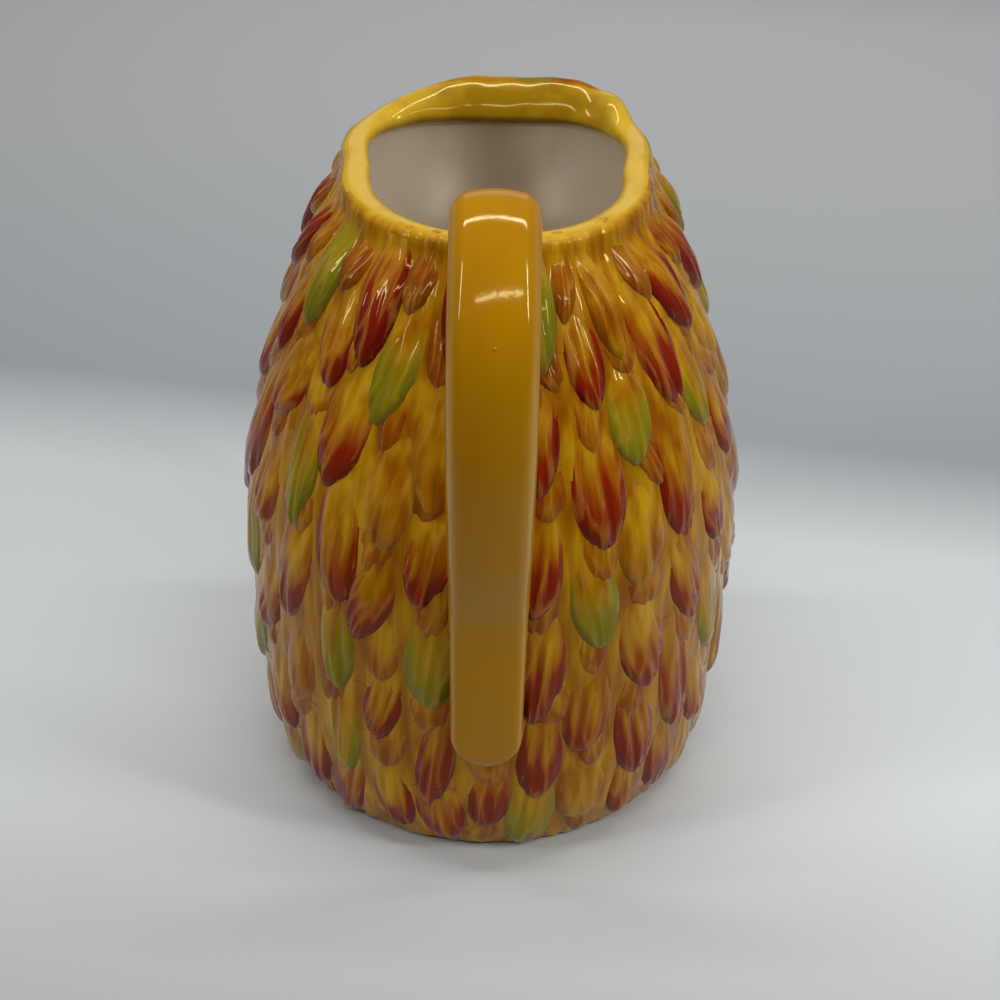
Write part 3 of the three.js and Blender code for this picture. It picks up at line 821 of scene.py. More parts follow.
def dark_glaze(colours):
    """Black with a breath of maroon."""

    def tone(sketch):
        patch = sketch.mottle((1, 1, 1), scale=200.0)
        return sketch.ramp(patch, [(0.3, colours.black), (0.8, colours.maroon)])

    return glaze("dark_glaze", tone, roughness=0.07, ripple=0.05 * MM)


def material_named(name, maker, context):
    """The material of that name, made the first time that it is asked for."""
    return bpy.data.materials.get(name) or maker(context.scene.pitcher_glazes)


def cheek_share(angle, z):
    """1 at the middle of the two soft bulges inside the wall, behind the face."""
    side = abs(math.remainder(angle - FRONT, FULL_TURN))
    return hill(side, CHEEK_ANGLE, CHEEK_BREADTH) * hill(z, CHEEK_HEIGHT, CHEEK_TALLNESS)


class PITCHER_OT_wall(bpy.types.Operator):
    """Make the jug's wall, gold outside and off-white inside"""

    bl_idname = "pitcher.wall"
    bl_label = "Jug wall"

    def execute(self, context):
        sizes = context.scene.pitcher_jug
        jug = Jug(sizes)
        angles = turns(WALL_COLUMNS)
        heights = [jug.height_at(length) for length in evenly(0.0, jug.length, WALL_ROWS)]
        heights.append(jug.wall_top + WALL_INTO_RIM)
        loops = [[jug.around(angle, jug.radius(z), z) for angle in angles] for z in heights]
        for z in reversed(heights):
            if z > sizes.floor + sizes.wall:
                loops.append([self.inside(jug, angle, z) for angle in angles])
        corner = jug.skin(sizes.floor, -sizes.wall)
        for inset in FLOOR_INSETS:
            lift = sizes.wall / 2 * (1 - smooth_step(inset, 0.0, FLOOR_CORNER))
            loops.append([jug.around(angle, corner * (1 - inset), sizes.floor + lift) for angle in angles])
        inside = [[float(index >= len(heights))] * WALL_COLUMNS for index in range(len(loops))]
        piece = loft("jug_wall", loops, marks={"inside": inside})
        # Painted shade in the brow's hollow and painted light on the bulges, carried under the name hollow.
        mark(piece, "hollow", self.painted_shade_share)
        settle(piece, material_named("wall_glaze", wall_glaze, context), "amber_glaze", "body_shell")
        return {"FINISHED"}

    @staticmethod
    def inside(jug, angle, z):
        """Point of the inner face, with the two soft bulges behind the face."""
        bulge = CHEEK_BULGE * cheek_share(angle, z)
        return jug.around(angle, jug.skin(z, -jug.sizes.wall - bulge), z)

    @staticmethod
    def painted_shade_share(co):
        """Painted shade inside: most in the brow's hollow, and less than nothing on the bulges beside it,
        which is painted light.
        """
        angle = math.atan2(co.x, co.y)
        side = math.remainder(angle - FRONT, FULL_TURN)
        brow = hill(side, 0.0, BROW_BREADTH) * smooth_step(co.z, BROW_FROM, BROW_FULL)
        return BROW_SHADE * brow - CHEEK_LIGHT * cheek_share(angle, co.z)


class PITCHER_OT_rim(bpy.types.Operator):
    """Make the rolled rim and the pouring lip"""

    bl_idname = "pitcher.rim"
    bl_label = "Rim and lip"

    def execute(self, context):
        jug = Jug(context.scene.pitcher_jug)
        half = jug.sizes.lip_span / 2
        glazed = material_named("rim_glaze", rim_glaze, context)
        bands = (
            ("rim_band", "rim_coil", evenly(half - FRONT, FRONT - half, RIM_SECTIONS)),
            ("lip_band", "pouring_lip", evenly(FRONT - half, FRONT + half, LIP_SECTIONS)),
        )
        for name, node, angles in bands:
            places = [[(angle, turned) for turned in turns(RIM_POINTS)] for angle in angles]

            def at_places(value_of):
                return [[value_of(jug, *place) for place in ring] for ring in places]

            # The pooled mark carries the shade painted in the lip's hollow.
            marks = {"outer": at_places(self.outer_share), "pooled": at_places(self.lip_shade_share)}
            settle(loft(name, at_places(self.section), marks=marks), glazed, "yellow_glaze", node)
        return {"FINISHED"}

    @staticmethod
    def section(jug, angle, turned):
        """Point of the rim, a little uneven as a hand-drawn rim is."""
        point = jug.rim_point(angle, turned)
        lip = jug.lip_share(angle)
        wave = (1 + lip) * noise.noise(point * LONG_WAVES) + lip * noise.noise(point * SHORT_WAVES)
        outwards = Vector((point.x, point.y, 0.0)).normalized() * math.cos(turned)
        outwards.z = math.sin(turned)
        return point + outwards * (RIM_UNEVENNESS / 2 * wave)

    @staticmethod
    def from_below(turned):
        """Turn of a section's point, counted from the rim's underside out and over its top."""
        return (turned + math.pi / 2) % FULL_TURN - math.pi / 2

    @classmethod
    def outer_share(cls, jug, angle, turned):
        """1 on the rim's outer face, and on the handle's side up to its crest, where the quills begin."""
        near = ((1 + math.cos(angle)) / 2) ** 4
        edge = PAINT_EDGE + PAINT_NEAR * near + PAINT_LIP * jug.lip_share(angle)
        return 1 - smooth_step(cls.from_below(turned), edge - PAINT_SOFTNESS, edge + PAINT_SOFTNESS)

    @classmethod
    def lip_shade_share(cls, jug, angle, turned):
        """1 in the hollow of the lip's inner face, where shade is painted in dark gold."""
        return jug.lip_share(angle) * smooth_step(cls.from_below(turned), *LIP_SHADE_RUN)


class PITCHER_OT_handle(bpy.types.Operator):
    """Make the strap handle"""

    bl_idname = "pitcher.handle"
    bl_label = "Handle"

    def execute(self, context):
        sizes = context.scene.pitcher_handle
        path = strap_path(Jug(context.scene.pitcher_jug), context.scene.pitcher_quills, sizes)
        points = even_points(path, STRAP_SECTIONS + 1)
        total = sum((after - point).length for point, after in zip(points, points[1:]))
        straight = 1 - sizes.end_width / 2 / total
        shares = evenly(0.0, straight, STRAP_SECTIONS - STRAP_END_SECTIONS)
        for angle in evenly(0.0, math.pi / 2, STRAP_END_SECTIONS + 2)[1:-1]:
            shares.append(mix(straight, 1.0, math.sin(angle)))
        loops = []
        edges = []
        for along in shares:
            centre, forward = at_share(points, along)
            out = Vector((1, 0, 0)).cross(forward)
            taper = smooth_step(along, TAPER_FROM, 1.0)
            ended = max(along - straight, 0.0) / (1 - straight)
            rounding = math.sqrt(1 - ended**2)
            width = mix(sizes.width, sizes.end_width, taper) * rounding
            thickness = mix(sizes.thickness, sizes.end_thickness, taper) * (1 - TIP_THINNING * ended**3)
            crown = sizes.crown * (1 - TONGUE_FLATNESS * taper) * rounding
            section = strap_section(sizes, width / 2, thickness / 2, crown)
            loops.append([centre + Vector((x, 0, 0)) + out * y for x, y, _ in section])
            edges.append([edge for _, _, edge in section])
        piece = loft("handle_strap", loops, marks={"edge": edges})
        settle(piece, material_named("strap_glaze", strap_glaze, context), "honey_glaze", "handle")
        return {"FINISHED"}


def strap_path(jug, quills, sizes):
    """Points through which the middle of the strap passes."""
    half = sizes.thickness / 2
    end_half = sizes.end_thickness / 2
    coat = jug.sizes.ground + quills.lift + quills.relief

    def on_coat(z, half_thickness):
        return Vector((0, jug.skin(z, coat) + half_thickness - sizes.seating, z))

    def between(first, second, shares):
        out, down = shares
        return Vector((0, mix(first.y, second.y, out), mix(first.z, second.z, down)))

    root = Vector((0, jug.radius(sizes.root_height), sizes.root_height))
    outer = half + sizes.crown / 2
    top = Vector((0, sizes.top_reach, sizes.top - outer))
    out = Vector((0, sizes.reach - outer, sizes.reach_height))
    landing = on_coat(sizes.landing_height, half)
    tongue = on_coat((sizes.landing_height + sizes.end_height) / 2, (half + end_half) / 2)
    end = on_coat(sizes.end_height, end_half)
    rise = between(root, top, RISE_SHARES)
    shoulder = between(top, out, SHOULDER_SHARES)
    lower = between(out, landing, LOWER_SHARES)
    return [root, rise, top, shoulder, out, lower, landing, tongue, end]


def even_points(path, count):
    """Even points along a smooth curve through the given ones, closer where they are closer."""
    ends = [path[0] * 2 - path[1], *path, path[-1] * 2 - path[-2]]
    fine = []
    for before, first, second, after in zip(ends, ends[1:], ends[2:], ends[3:]):
        steps = [math.sqrt((b - a).length) for a, b in ((before, first), (first, second), (second, after))]
        lead = ((first - before) / steps[0] - (second - before) / (steps[0] + steps[1])) * steps[1]
        lead += second - first
        follow = ((after - second) / steps[2] - (after - first) / (steps[1] + steps[2])) * steps[1]
        follow += second - first
        for step in range(CURVE_STEPS):
            t = step / CURVE_STEPS
            bend = first * (2 * t**3 - 3 * t**2 + 1) + second * (3 * t**2 - 2 * t**3)
            fine.append(bend + lead * (t**3 - 2 * t**2 + t) + follow * (t**3 - t**2))
    fine.append(path[-1])
    reached = [0.0]
    for point, after in zip(fine, fine[1:]):
        reached.append(reached[-1] + (after - point).length)
    even = []
    for length in evenly(0.0, reached[-1], count):
        index = min(max(bisect.bisect_left(reached, length), 1), len(fine) - 1)
        along = (length - reached[index - 1]) / (reached[index] - reached[index - 1])
        even.append(fine[index - 1].lerp(fine[index], along))
    return even


def at_share(points, along):
    """Place and direction at a share of an evenly pointed line."""
    place = along * (len(points) - 1)
    index = min(int(place), len(points) - 2)
    centre = points[index].lerp(points[index + 1], place - index)
    low = points[max(index - 1, 0)]
    high = points[min(index + 2, len(points) - 1)]
    return centre, (high - low).normalized()


def strap_section(sizes, half_width, half_thickness, crown):
    """Rounded rectangle with a crowned outer face, as (across, out, nearness to an edge)."""
    corner = min(sizes.corner, half_width, half_thickness)
    flat = half_width - corner
    half_round = half_thickness - corner
    right = []
    for angle in evenly(0.0, math.pi / 2, STRAP_CORNER_POINTS):
        point = (flat + corner * math.cos(angle), half_round + corner * math.sin(angle))
        right.append((*point, math.sin(2 * angle) ** 2))
    level = [(x, half_thickness, 0.0) for x in evenly(flat, -flat, STRAP_FLAT_POINTS)[1:-1]]
    left = [(-x, y, edge) for x, y, edge in reversed(right)]
    outer = right + level + left
    section = outer + [(-x, -y, edge) for x, y, edge in outer]
    width = max(half_width, SEAT_GAP)
    return [
        (x, y + (crown * (1 - (x / width) ** 2) if y > 0 else 0.0), edge) for x, y, edge in section
    ]


class PITCHER_OT_quills(bpy.types.Operator):
    """Make the rows of quills, laid like roof tiles with their points down"""

    bl_idname = "pitcher.quills"
    bl_label = "Quills"

    def execute(self, context):
        scene = context.scene
        sizes = scene.pitcher_quills
        jug = Jug(scene.pitcher_jug)
        tree = quill_tree()
        leaf = leaf_shape()
        bed = bed_shape(jug)
        glazed = material_named("quill_brushwork", quill_brushwork, context)
        for row in range(1, sizes.rows + 1):
            places = quill_places(jug, sizes, scene.pitcher_face, row)
            piece = place_points("quills_%02d" % row, places)
            band = slip_band(jug, sizes, row)
            grow = piece.modifiers.new("Quills", "NODES")
            grow.node_group = tree
            values = {
                "Leaf": leaf,
                "Bed": bed,
                "Slip": band,
                "Relief": sizes.relief,
                "Ridge": sizes.ridge,
                "Curl": sizes.curl,
                "Lift": sizes.lift + (sizes.drape if row == 1 else 0.0),
                "Tilt": sizes.tilt,
                "Spread": sizes.spread,
                "Seed": sizes.seed + row,
                "Glaze": glazed,
            }
            for item in tree.interface.items_tree:
                if item.name in values:
                    grow[item.identifier] = values[item.name]
            make_plain(piece)
            settle(piece, glazed, "quill_glaze", "quill_row_%02d" % row)
            put_away(band)
        put_away(leaf)
        put_away(bed)
        return {"FINISHED"}


def put_away(helper):
    """Removes an object that only helped to make others."""
    data = helper.data
    bpy.data.objects.remove(helper)
    bpy.data.meshes.remove(data)


def row_pitch(jug, sizes):
    """Distance from one row of quills to the next along the wall."""
    return (jug.length - sizes.foot_edge) / sizes.rows


def unlike(row, quill, trait):
    """Number from -1 to 1 that differs from quill to quill, by the rule that the solids follow."""
    wave = SCATTER * math.sin(row * ROW_STRIDE + quill * QUILL_STRIDE + trait * TRAIT_STRIDE)
    return 2 * (wave - math.floor(wave)) - 1


def slip_band(jug, sizes, row):
    """Ring of slip in which a row's quills are set, with low ridges where it was combed downwards."""
    columns = [slip_column(jug, sizes, row, angle) for angle in turns(SLIP_COLUMNS)]
    loops = [[place for place, _, _ in column] for column in columns]
    ridges = [[ridge for _, ridge, _ in column] for column in columns]
    crests = [[crest for _, _, crest in column] for column in columns]
    return loft("slip_band", loops, joined=True, marks={"ridge": ridges, "early": crests})


def slip_column(jug, sizes, row, angle):
    """Upright section of the slip: each point, how far it is a ridge, and how yellow it is on the rim."""
    pitch = row_pitch(jug, sizes)
    top = jug.length - (row - 1) * pitch - sizes.point / 2
    bottom = jug.length - row * pitch - (sizes.point / 2 if row < sizes.rows else 0.0)
    bottom = max(bottom, 0.0)
    if row == 1:
        near = ((1 + math.cos(angle)) / 2) ** 2
        top = jug.length + mix(FRONT_DRAPE, 1.0, near) * RIM_ARC
    column = []
    for length in evenly(top, bottom, SLIP_STEPS):
        stood = standing(jug, angle, length)
        furrow = Vector((math.sin(angle), math.cos(angle), 0.0)) * FURROWS_ROUND
        furrow.z = length * FURROWS_DOWN
        comb = noise.noise(furrow)
        height = sizes.comb * comb * (1 - abs(comb)) * smooth_step(top - length, *COMB_RUN)
        if row == 1:
            drape = smooth_step(length, jug.length - DRAPE_CLIMB, jug.length)
            height += drape * sizes.drape * smooth_step(top - length, *DRAPE_RUN)
        ridge = min(max(0.5 + comb, 0.0), 1.0)
        crest = FIRST_ROW_EARLY * smooth_step(length - jug.length, *CREST_RUN)
        column.append((stood["place"] + stood["outward"] * height, ridge, crest))
    for length in (bottom, min(top, jug.length)):
        z = jug.height_at(length)
        column.append((jug.around(angle, jug.skin(z, -SEAT_GAP), z), 0.5, 0.0))
    return column


def quill_places(jug, sizes, face, row):
    """Middle, outward and downward direction, size and glaze of each quill in a row."""
    level = jug.length - row * row_pitch(jug, sizes)
    room = FULL_TURN / (2 * sizes.per_row)
    places = []
    for step in range(2 * sizes.per_row):
        small = step % 2 == 1
        quill = step // 2
        tip = level - sizes.point - sizes.stagger * unlike(row, quill, 1)
        lean = sizes.sway * unlike(row, quill + small * sizes.per_row, 2) / jug.sizes.belly_radius
        if small:
            tip = level - sizes.point + sizes.between + sizes.stagger * unlike(row, quill, 3)
        tip = max(tip, sizes.foot_edge)
        root = tip + (sizes.between_length if small else sizes.length)
        tip_angle = room * (step + row % 2) + lean
        if row == 1:
            root = jug.length + sizes.over_rim * (1 + math.cos(tip_angle)) / 2
        middle = (tip + root) / 2
        radius = jug.radius(jug.height_at(min(mix(middle, tip, WIDEST_SHARE), jug.length)))
        lean += math.tan(sizes.sweep) * math.sin(tip_angle) * (root - tip) / radius
        angle = tip_angle - lean / 2
        if on_face(jug, face, angle, middle):
            continue
        width = room * radius * sizes.width_share * (SMALL_WIDTH if small else 1.0)
        places.append(
            {
                **standing(jug, angle, middle),
                "quill_size": (width, root - tip, SMALL_RELIEF if small else 1.0),
                "lean": -math.atan2(lean * radius, root - tip),
                "green": 0.0 if small else float(quill in GREEN_QUILLS[row]),
                "pale": SMALL_PALE if small else float(quill in PALE_QUILLS[row]),
                "early": FIRST_ROW_EARLY if row == 1 else 0.0,
            }
        )
    return places


def on_face(jug, face, angle, length):
    """Whether a place on the wall is in the face's oval."""
    across = math.remainder(angle - FRONT, FULL_TURN) * jug.sizes.belly_radius
    up = jug.height_at(min(length, jug.length)) - face.height
    return math.hypot(across / face.half_width, up / face.half_height) < 1


def standing(jug, angle, length):
    """Where a quill stands on its bed, and which way is out and down there."""
    here = jug.bed(angle, length)
    down = jug.bed(angle, length - FELT_DOWN) - jug.bed(angle, length + FELT_DOWN)
    side = jug.bed(angle + FELT_ROUND, length) - jug.bed(angle - FELT_ROUND, length)
    return {"place": here, "outward": side.cross(down).normalized(), "downward": down.normalized()}


def place_points(name, places):
    """Object of loose points that carry what the quills on them need."""
    data = bpy.data.meshes.new(name)
    data.from_pydata([entry["place"] for entry in places], [], [])
    for layer_name in ("outward", "downward", "quill_size"):
        layer = data.attributes.new(layer_name, "FLOAT_VECTOR", "POINT")
        layer.data.foreach_set("vector", [value for entry in places for value in entry[layer_name]])
    for layer_name in ("lean", "green", "pale", "early"):
        layer = data.attributes.new(layer_name, "FLOAT", "POINT")
        layer.data.foreach_set("value", [entry[layer_name] for entry in places])
    return linked(name, data)


def make_plain(piece):
    """Turns what a piece's modifiers make into its own mesh."""
    graph = bpy.context.evaluated_depsgraph_get()
    made = bpy.data.meshes.new_from_object(
        piece.evaluated_get(graph), preserve_all_data_layers=True, depsgraph=graph
    )
    if not made.polygons:
        raise RuntimeError(piece.name + " came out empty")
    piece.modifiers.clear()
    old = piece.data
    piece.data = made
    bpy.data.meshes.remove(old)
    made.name = piece.name
    for layer_name in ("outward", "downward", "quill_size", "lean", "leaf_place"):
        layer = made.attributes.get(layer_name)
        if layer:
            made.attributes.remove(layer)


# Outline of a quill from its root to its tip: share of the length, of the width and of the relief
LEAF_OUTLINE = (
    (0.00, 0.34, -0.20),
    (0.10, 0.58, 0.12),
    (0.35, 0.90, 0.52),
    (0.58, 1.00, 0.80),
    (0.78, 0.86, 1.00),
    (0.92, 0.50, 0.92),
    (1.00, 0.12, 0.35),
)
# Section of a quill from side to side: share of the width and of the relief
LEAF_SECTION = (
    (-1.0, -0.25),
    (-0.78, 0.62),
    (-0.34, 0.88),
    (0.0, 1.0),
    (0.34, 0.88),
    (0.78, 0.62),
    (1.0, -0.25),
)
LEAF_UNDERSIDE = -0.45


def leaf_shape():
    """One quill of unit length, width and relief, its middle at the origin and its tip along +Y."""
    mesh = bmesh.new()
    layer = mesh.verts.layers.float_vector.new("leaf_share")

    def vertex(along, half_width, across, height):
        vert = mesh.verts.new((across * half_width / 2, along - 0.5, height))
        vert[layer] = (across, along, 0.0)
        return vert

    upper = []
    under = []
    for along, half_width, relief in LEAF_OUTLINE:
        top = [
            vertex(along, half_width, across, relief * height if height > 0 else height)
            for across, height in LEAF_SECTION
        ]
        upper.append(top)
        inner = [vertex(along, half_width, across, LEAF_UNDERSIDE) for across, _ in LEAF_SECTION[1:-1]]
        under.append([top[0], *inner, top[-1]])
    for rows in (upper, under):
        for low, high in zip(rows, rows[1:]):
            for left in range(len(LEAF_SECTION) - 1):
                right = left + 1
                mesh.faces.new((low[left], low[right], high[right], high[left]))
    for top, bottom in ((upper[0], under[0]), (upper[-1], under[-1])):
        mesh.faces.new([*top, *reversed(bottom[1:-1])])
    return finished("leaf_shape", mesh)


def bed_shape(jug):
    """Surface on which the quills lie, from the foot up over the rim."""
    lengths = evenly(0.0, jug.length, BED_ROWS)
    lengths += evenly(jug.length, jug.length + RIM_ARC, BED_RIM_ROWS)[1:]
    angles = turns(BED_COLUMNS)
    mesh = bmesh.new()
    rings = [[mesh.verts.new(jug.bed(angle, length)) for angle in angles] for length in lengths]
    for ring, above in zip(rings, rings[1:]):
        for index in range(len(angles)):
            beside = (index + 1) % len(angles)
            mesh.faces.new((ring[beside], ring[index], above[index], above[beside]))
    mesh.normal_update()
    layer = mesh.verts.layers.float_vector.new("outward")
    for vert in mesh.verts:
        vert[layer] = vert.normal
    return as_object("quill_bed", mesh)


QUILL_SOCKETS = {
    "Geometry": "NodeSocketGeometry",
    "Leaf": "NodeSocketObject",
    "Bed": "NodeSocketObject",
    "Slip": "NodeSocketObject",
    "Relief": "NodeSocketFloat",
    "Ridge": "NodeSocketFloat",
    "Curl": "NodeSocketFloat",
    "Lift": "NodeSocketFloat",
    "Tilt": "NodeSocketFloat",
    "Spread": "NodeSocketFloat",
    "Seed": "NodeSocketInt",
    "Glaze": "NodeSocketMaterial",
}


class QuillSketch(Sketch):
    """Node tree that sets a quill on each point and presses it on to the bed."""

    def __init__(self):
        super().__init__(bpy.data.node_groups.new("quill_row", "GeometryNodeTree"))
        interface = self.tree.interface
        for name, kind in QUILL_SOCKETS.items():
            interface.new_socket(name=name, in_out="INPUT", socket_type=kind)
        interface.new_socket(name="Geometry", in_out="OUTPUT", socket_type="NodeSocketGeometry")
        self.given = self.node("NodeGroupInput").outputs
        self.position = self.node("GeometryNodeInputPosition").outputs["Position"]

    def named(self, name, kind="FLOAT_VECTOR"):
        made = self.node("GeometryNodeInputNamedAttribute", {"Name": name}, data_type=kind)
        return made.outputs["Attribute"]

    def store(self, geometry, name, value, kind="FLOAT", domain="POINT"):
        made = self.node("GeometryNodeStoreNamedAttribute", {"Name": name}, data_type=kind, domain=domain)
        self.put(made.inputs["Geometry"], geometry)
        self.put(made.inputs["Value"], value)
        return made.outputs["Geometry"]

    def random(self, low, high, step):
        made = self.node("FunctionNodeRandomValue", data_type="FLOAT")
        self.put(made.inputs[2], low)
        self.put(made.inputs[3], high)
        self.put(made.inputs["Seed"], self.plus(self.given["Seed"], SEED_STEP * step))
        return made.outputs[1]

    def shape_of(self, name):
        """Geometry of the object given under a name."""
        return self.node("GeometryNodeObjectInfo", {"Object": self.given[name]}).outputs["Geometry"]

    def moved(self, start, direction, distance):
        """Place that lies a distance along a direction from a start."""
        made = self.node("ShaderNodeVectorMath", operation="MULTIPLY_ADD")
        lengths = self.vector(distance, distance, distance)
        for socket, value in zip(made.inputs, (direction, lengths, start)):
            self.put(socket, value)
        return made.outputs["Vector"]

    def nearest(self, bed, value, place):
        """Value that the bed has where it is nearest to a place."""
        made = self.node("GeometryNodeSampleNearestSurface", {"Mesh": bed}, data_type="FLOAT_VECTOR")
        self.put(made.inputs["Value"], value)
        self.put(made.inputs["Sample Position"], place)
        return made.outputs["Value"]

    def leaves(self):
        """A smooth leaf on each point, turned and grown as the point says, with a tint of its own."""
        smooth = self.node("GeometryNodeSubdivisionSurface", {"Mesh": self.shape_of("Leaf"), "Level": 2})
        leaf = self.store(smooth.outputs["Mesh"], "leaf_place", self.position, "FLOAT_VECTOR")
        facing = self.node(
            "FunctionNodeAxesToRotation",
            {"Primary Axis": self.named("outward"), "Secondary Axis": self.named("downward")},
            primary_axis="Z",
            secondary_axis="Y",
        ).outputs["Rotation"]
        tilt = self.random(self.times(self.given["Tilt"], -1.0), self.given["Tilt"], 1)
        lean = self.node(
            "FunctionNodeAxisAngleToRotation",
            {"Axis": (0, 0, 1), "Angle": self.plus(self.named("lean", "FLOAT"), tilt)},
        ).outputs["Rotation"]
        leaning = self.node(
            "FunctionNodeRotateRotation", {"Rotation": facing, "Rotate By": lean}, rotation_space="LOCAL"
        ).outputs["Rotation"]
        full = self.parts(self.named("quill_size"))
        low = self.minus(1.0, self.given["Spread"])
        high = self.plus(1.0, self.given["Spread"])
        width = self.times(full["X"], self.random(low, high, 2))
        length = self.times(full["Y"], self.random(low, high, 3))
        instances = self.node(
            "GeometryNodeInstanceOnPoints",
            {
                "Points": self.given["Geometry"],
                "Instance": leaf,
                "Rotation": leaning,
                "Scale": self.vector(width, length, self.given["Relief"]),
            },
        ).outputs["Instances"]
        tinted = self.store(instances, "tint", self.random(0.0, 1.0, 4), domain="INSTANCE")
        return self.node("GeometryNodeRealizeInstances", {"Geometry": tinted}).outputs["Geometry"]

    def ridges(self, leaf_place, tint):
        """1 along the crests that run down a quill and 0 in the furrows between them."""
        seat = self.vector(
            self.times(leaf_place["X"], RIDGES_ACROSS),
            self.times(leaf_place["Y"], RIDGES_ALONG),
            self.times(tint, RIDGES_UNLIKE),
        )
        wave = self.line(self.noise(seat, scale=1.0, detail=1.0), RIDGES_STEEP, -RIDGES_STEEP / 2)
        return self.limit(self.minus(1.0, self.math("ABSOLUTE", wave)))

    def bent(self, leaf_place, tint):
        """Places of the leaves' points once each tip is bent to a side."""
        crosswise = self.node("ShaderNodeVectorMath", operation="CROSS_PRODUCT")
        self.put(crosswise.inputs[0], self.named("outward"))
        self.put(crosswise.inputs[1], self.named("downward"))
        side = self.minus(self.math("FRACT", self.times(tint, BEND_STRIDE)), 0.5)
        towards_tip = self.math("POWER", self.plus(leaf_place["Y"], 0.5), 2.0)
        bend = self.times(self.times(side, towards_tip), self.given["Curl"])
        return self.moved(self.position, crosswise.outputs["Vector"], bend)


def quill_tree():
    """Tree of one row: its leaves, ridged, bent and pressed on to the bed, and the slip under them."""
    sketch = QuillSketch()
    given = sketch.given
    leaf_place = sketch.parts(sketch.named("leaf_place"))
    tint = sketch.named("tint", "FLOAT")
    ridge = sketch.ridges(leaf_place, tint)
    leaves = sketch.store(sketch.leaves(), "ridge", ridge)
    swell = sketch.times(sketch.minus(ridge, 0.5), given["Ridge"])
    on_top = sketch.times(swell, sketch.limit(leaf_place["Z"]))
    height = sketch.line(leaf_place["Z"], given["Relief"], on_top)
    raised = sketch.line(height, sketch.parts(sketch.named("quill_size"))["Z"], given["Lift"])
    bed = sketch.shape_of("Bed")
    bent = sketch.bent(leaf_place, tint)
    seat = sketch.nearest(bed, sketch.position, bent)
    outward = sketch.nearest(bed, sketch.named("outward"), bent)
    pressed = sketch.moved(seat, outward, raised)
    laid = sketch.node("GeometryNodeSetPosition", {"Geometry": leaves, "Position": pressed})
    whole = sketch.node("GeometryNodeJoinGeometry")
    for part in (sketch.shape_of("Slip"), laid.outputs["Geometry"]):
        sketch.put(whole.inputs["Geometry"], part)
    smooth = sketch.node("GeometryNodeSetShadeSmooth", {"Geometry": whole.outputs["Geometry"]})
    finish = {"Geometry": smooth.outputs["Geometry"], "Material": given["Glaze"]}
    glazed = sketch.node("GeometryNodeSetMaterial", finish)
    sketch.node("NodeGroupOutput", {"Geometry": glazed.outputs["Geometry"]})
    return sketch.tree


# The face plate's rings as shares of its breadth, the rounding of its edge and the neck's rise there
PLATE_SHARES = (0.01, 0.15, 0.3, 0.45, 0.6, 0.72, 0.83, 0.92, 0.97, 1.0)
PLATE_EDGE = 1.1 * MM
FACE_RISE = 4 * MM
# How far the eyes look to the sides, and up
EYE_SPLAY = 0.6
EYE_LIFT = 12 * MM
# How much tan is brushed on the snout's tip, inside the ears and round their edges
SNOUT_TAN = 0.35
EAR_TAN = 0.35
EAR_EDGE_TAN = 0.6
# Radius at which a turned piece is closed, as a share of its own
POLE_SHARE = 0.02


class FaceForm:
    """Places on the face at the front of the jug."""

    def __init__(self, jug, sizes):
        self.jug = jug
        self.sizes = sizes

    def skin(self, share_out):
        """Height of the face over the wall, from its middle out to its edge."""
        return SEAT_GAP + self.sizes.edge + (self.sizes.crown - self.sizes.edge) * (1 - share_out**2)

    def point(self, across, up, sunk=0.0):
        share_out = math.hypot(across / self.sizes.half_width, up / self.sizes.half_height)
        z = self.sizes.height + up
        angle = FRONT - across / self.jug.sizes.belly_radius
        return self.jug.around(angle, self.jug.skin(z, self.skin(share_out) - sunk), z)


class PITCHER_OT_face(bpy.types.Operator):
    """Make the face plate, the snout, the nose, the eyes and the ears"""

    bl_idname = "pitcher.face"
    bl_label = "Face"

    def execute(self, context):
        sizes = context.scene.pitcher_face
        jug = Jug(context.scene.pitcher_jug)
        form = FaceForm(jug, sizes)
        cream = material_named("face_glaze", face_glaze, context)
        dark = material_named("dark_glaze", dark_glaze, context)
        plate = face_plate(form)
        mark(plate, "rim_share", lambda co: plate_share(form, co))
        settle(plate, cream, "cream_glaze", "face_mask")
        axis = Vector((0, -math.cos(sizes.snout_tilt), math.sin(sizes.snout_tilt)))
        root = form.point(0.0, -sizes.snout_drop)
        snout = turned_along("snout_cone", snout_profile(sizes), root, axis)

        def snout_tan(co):
            return SNOUT_TAN * smooth_step((co - root).dot(axis), 0.0, sizes.snout_length)

        mark(snout, "rim_share", snout_tan)
        settle(snout, cream, "cream_glaze", "snout")
        tip = root + axis * (sizes.snout_length + SEAT_GAP)
        nose = turned_along("nose_ball", nose_profile(sizes), tip, axis)
        settle(nose, dark, "black_glaze", "nose")
        for name, side in (("left", 1), ("right", -1)):
            seat = form.point(side * sizes.eye_spacing / 2, sizes.eye_rise)
            out = Vector((seat.x * EYE_SPLAY, seat.y, EYE_LIFT)).normalized()
            eye = turned_along(name + "_eye_dome", eye_profile(sizes), seat, out)
            settle(eye, dark, "black_glaze", name + "_eye")
            ear = ear_cup(jug, sizes, name + "_ear_cup", side)
            settle(ear, cream, "cream_glaze", name + "_ear")
        return {"FINISHED"}


def face_plate(form):
    """Shield of clay with a rounded edge, laid on the wall."""
    angles = turns(PLATE_SIDES)
    rings = []
    for share_out in PLATE_SHARES:
        sunk = PLATE_EDGE * smooth_step(share_out, 0.9, 1.0)
        rings.append([plate_point(form, share_out, angle, sunk) for angle in angles])
    rings.append([plate_point(form, 1.0, angle, form.sizes.edge + SEAT_GAP) for angle in angles])
    return loft("face_plate", rings)


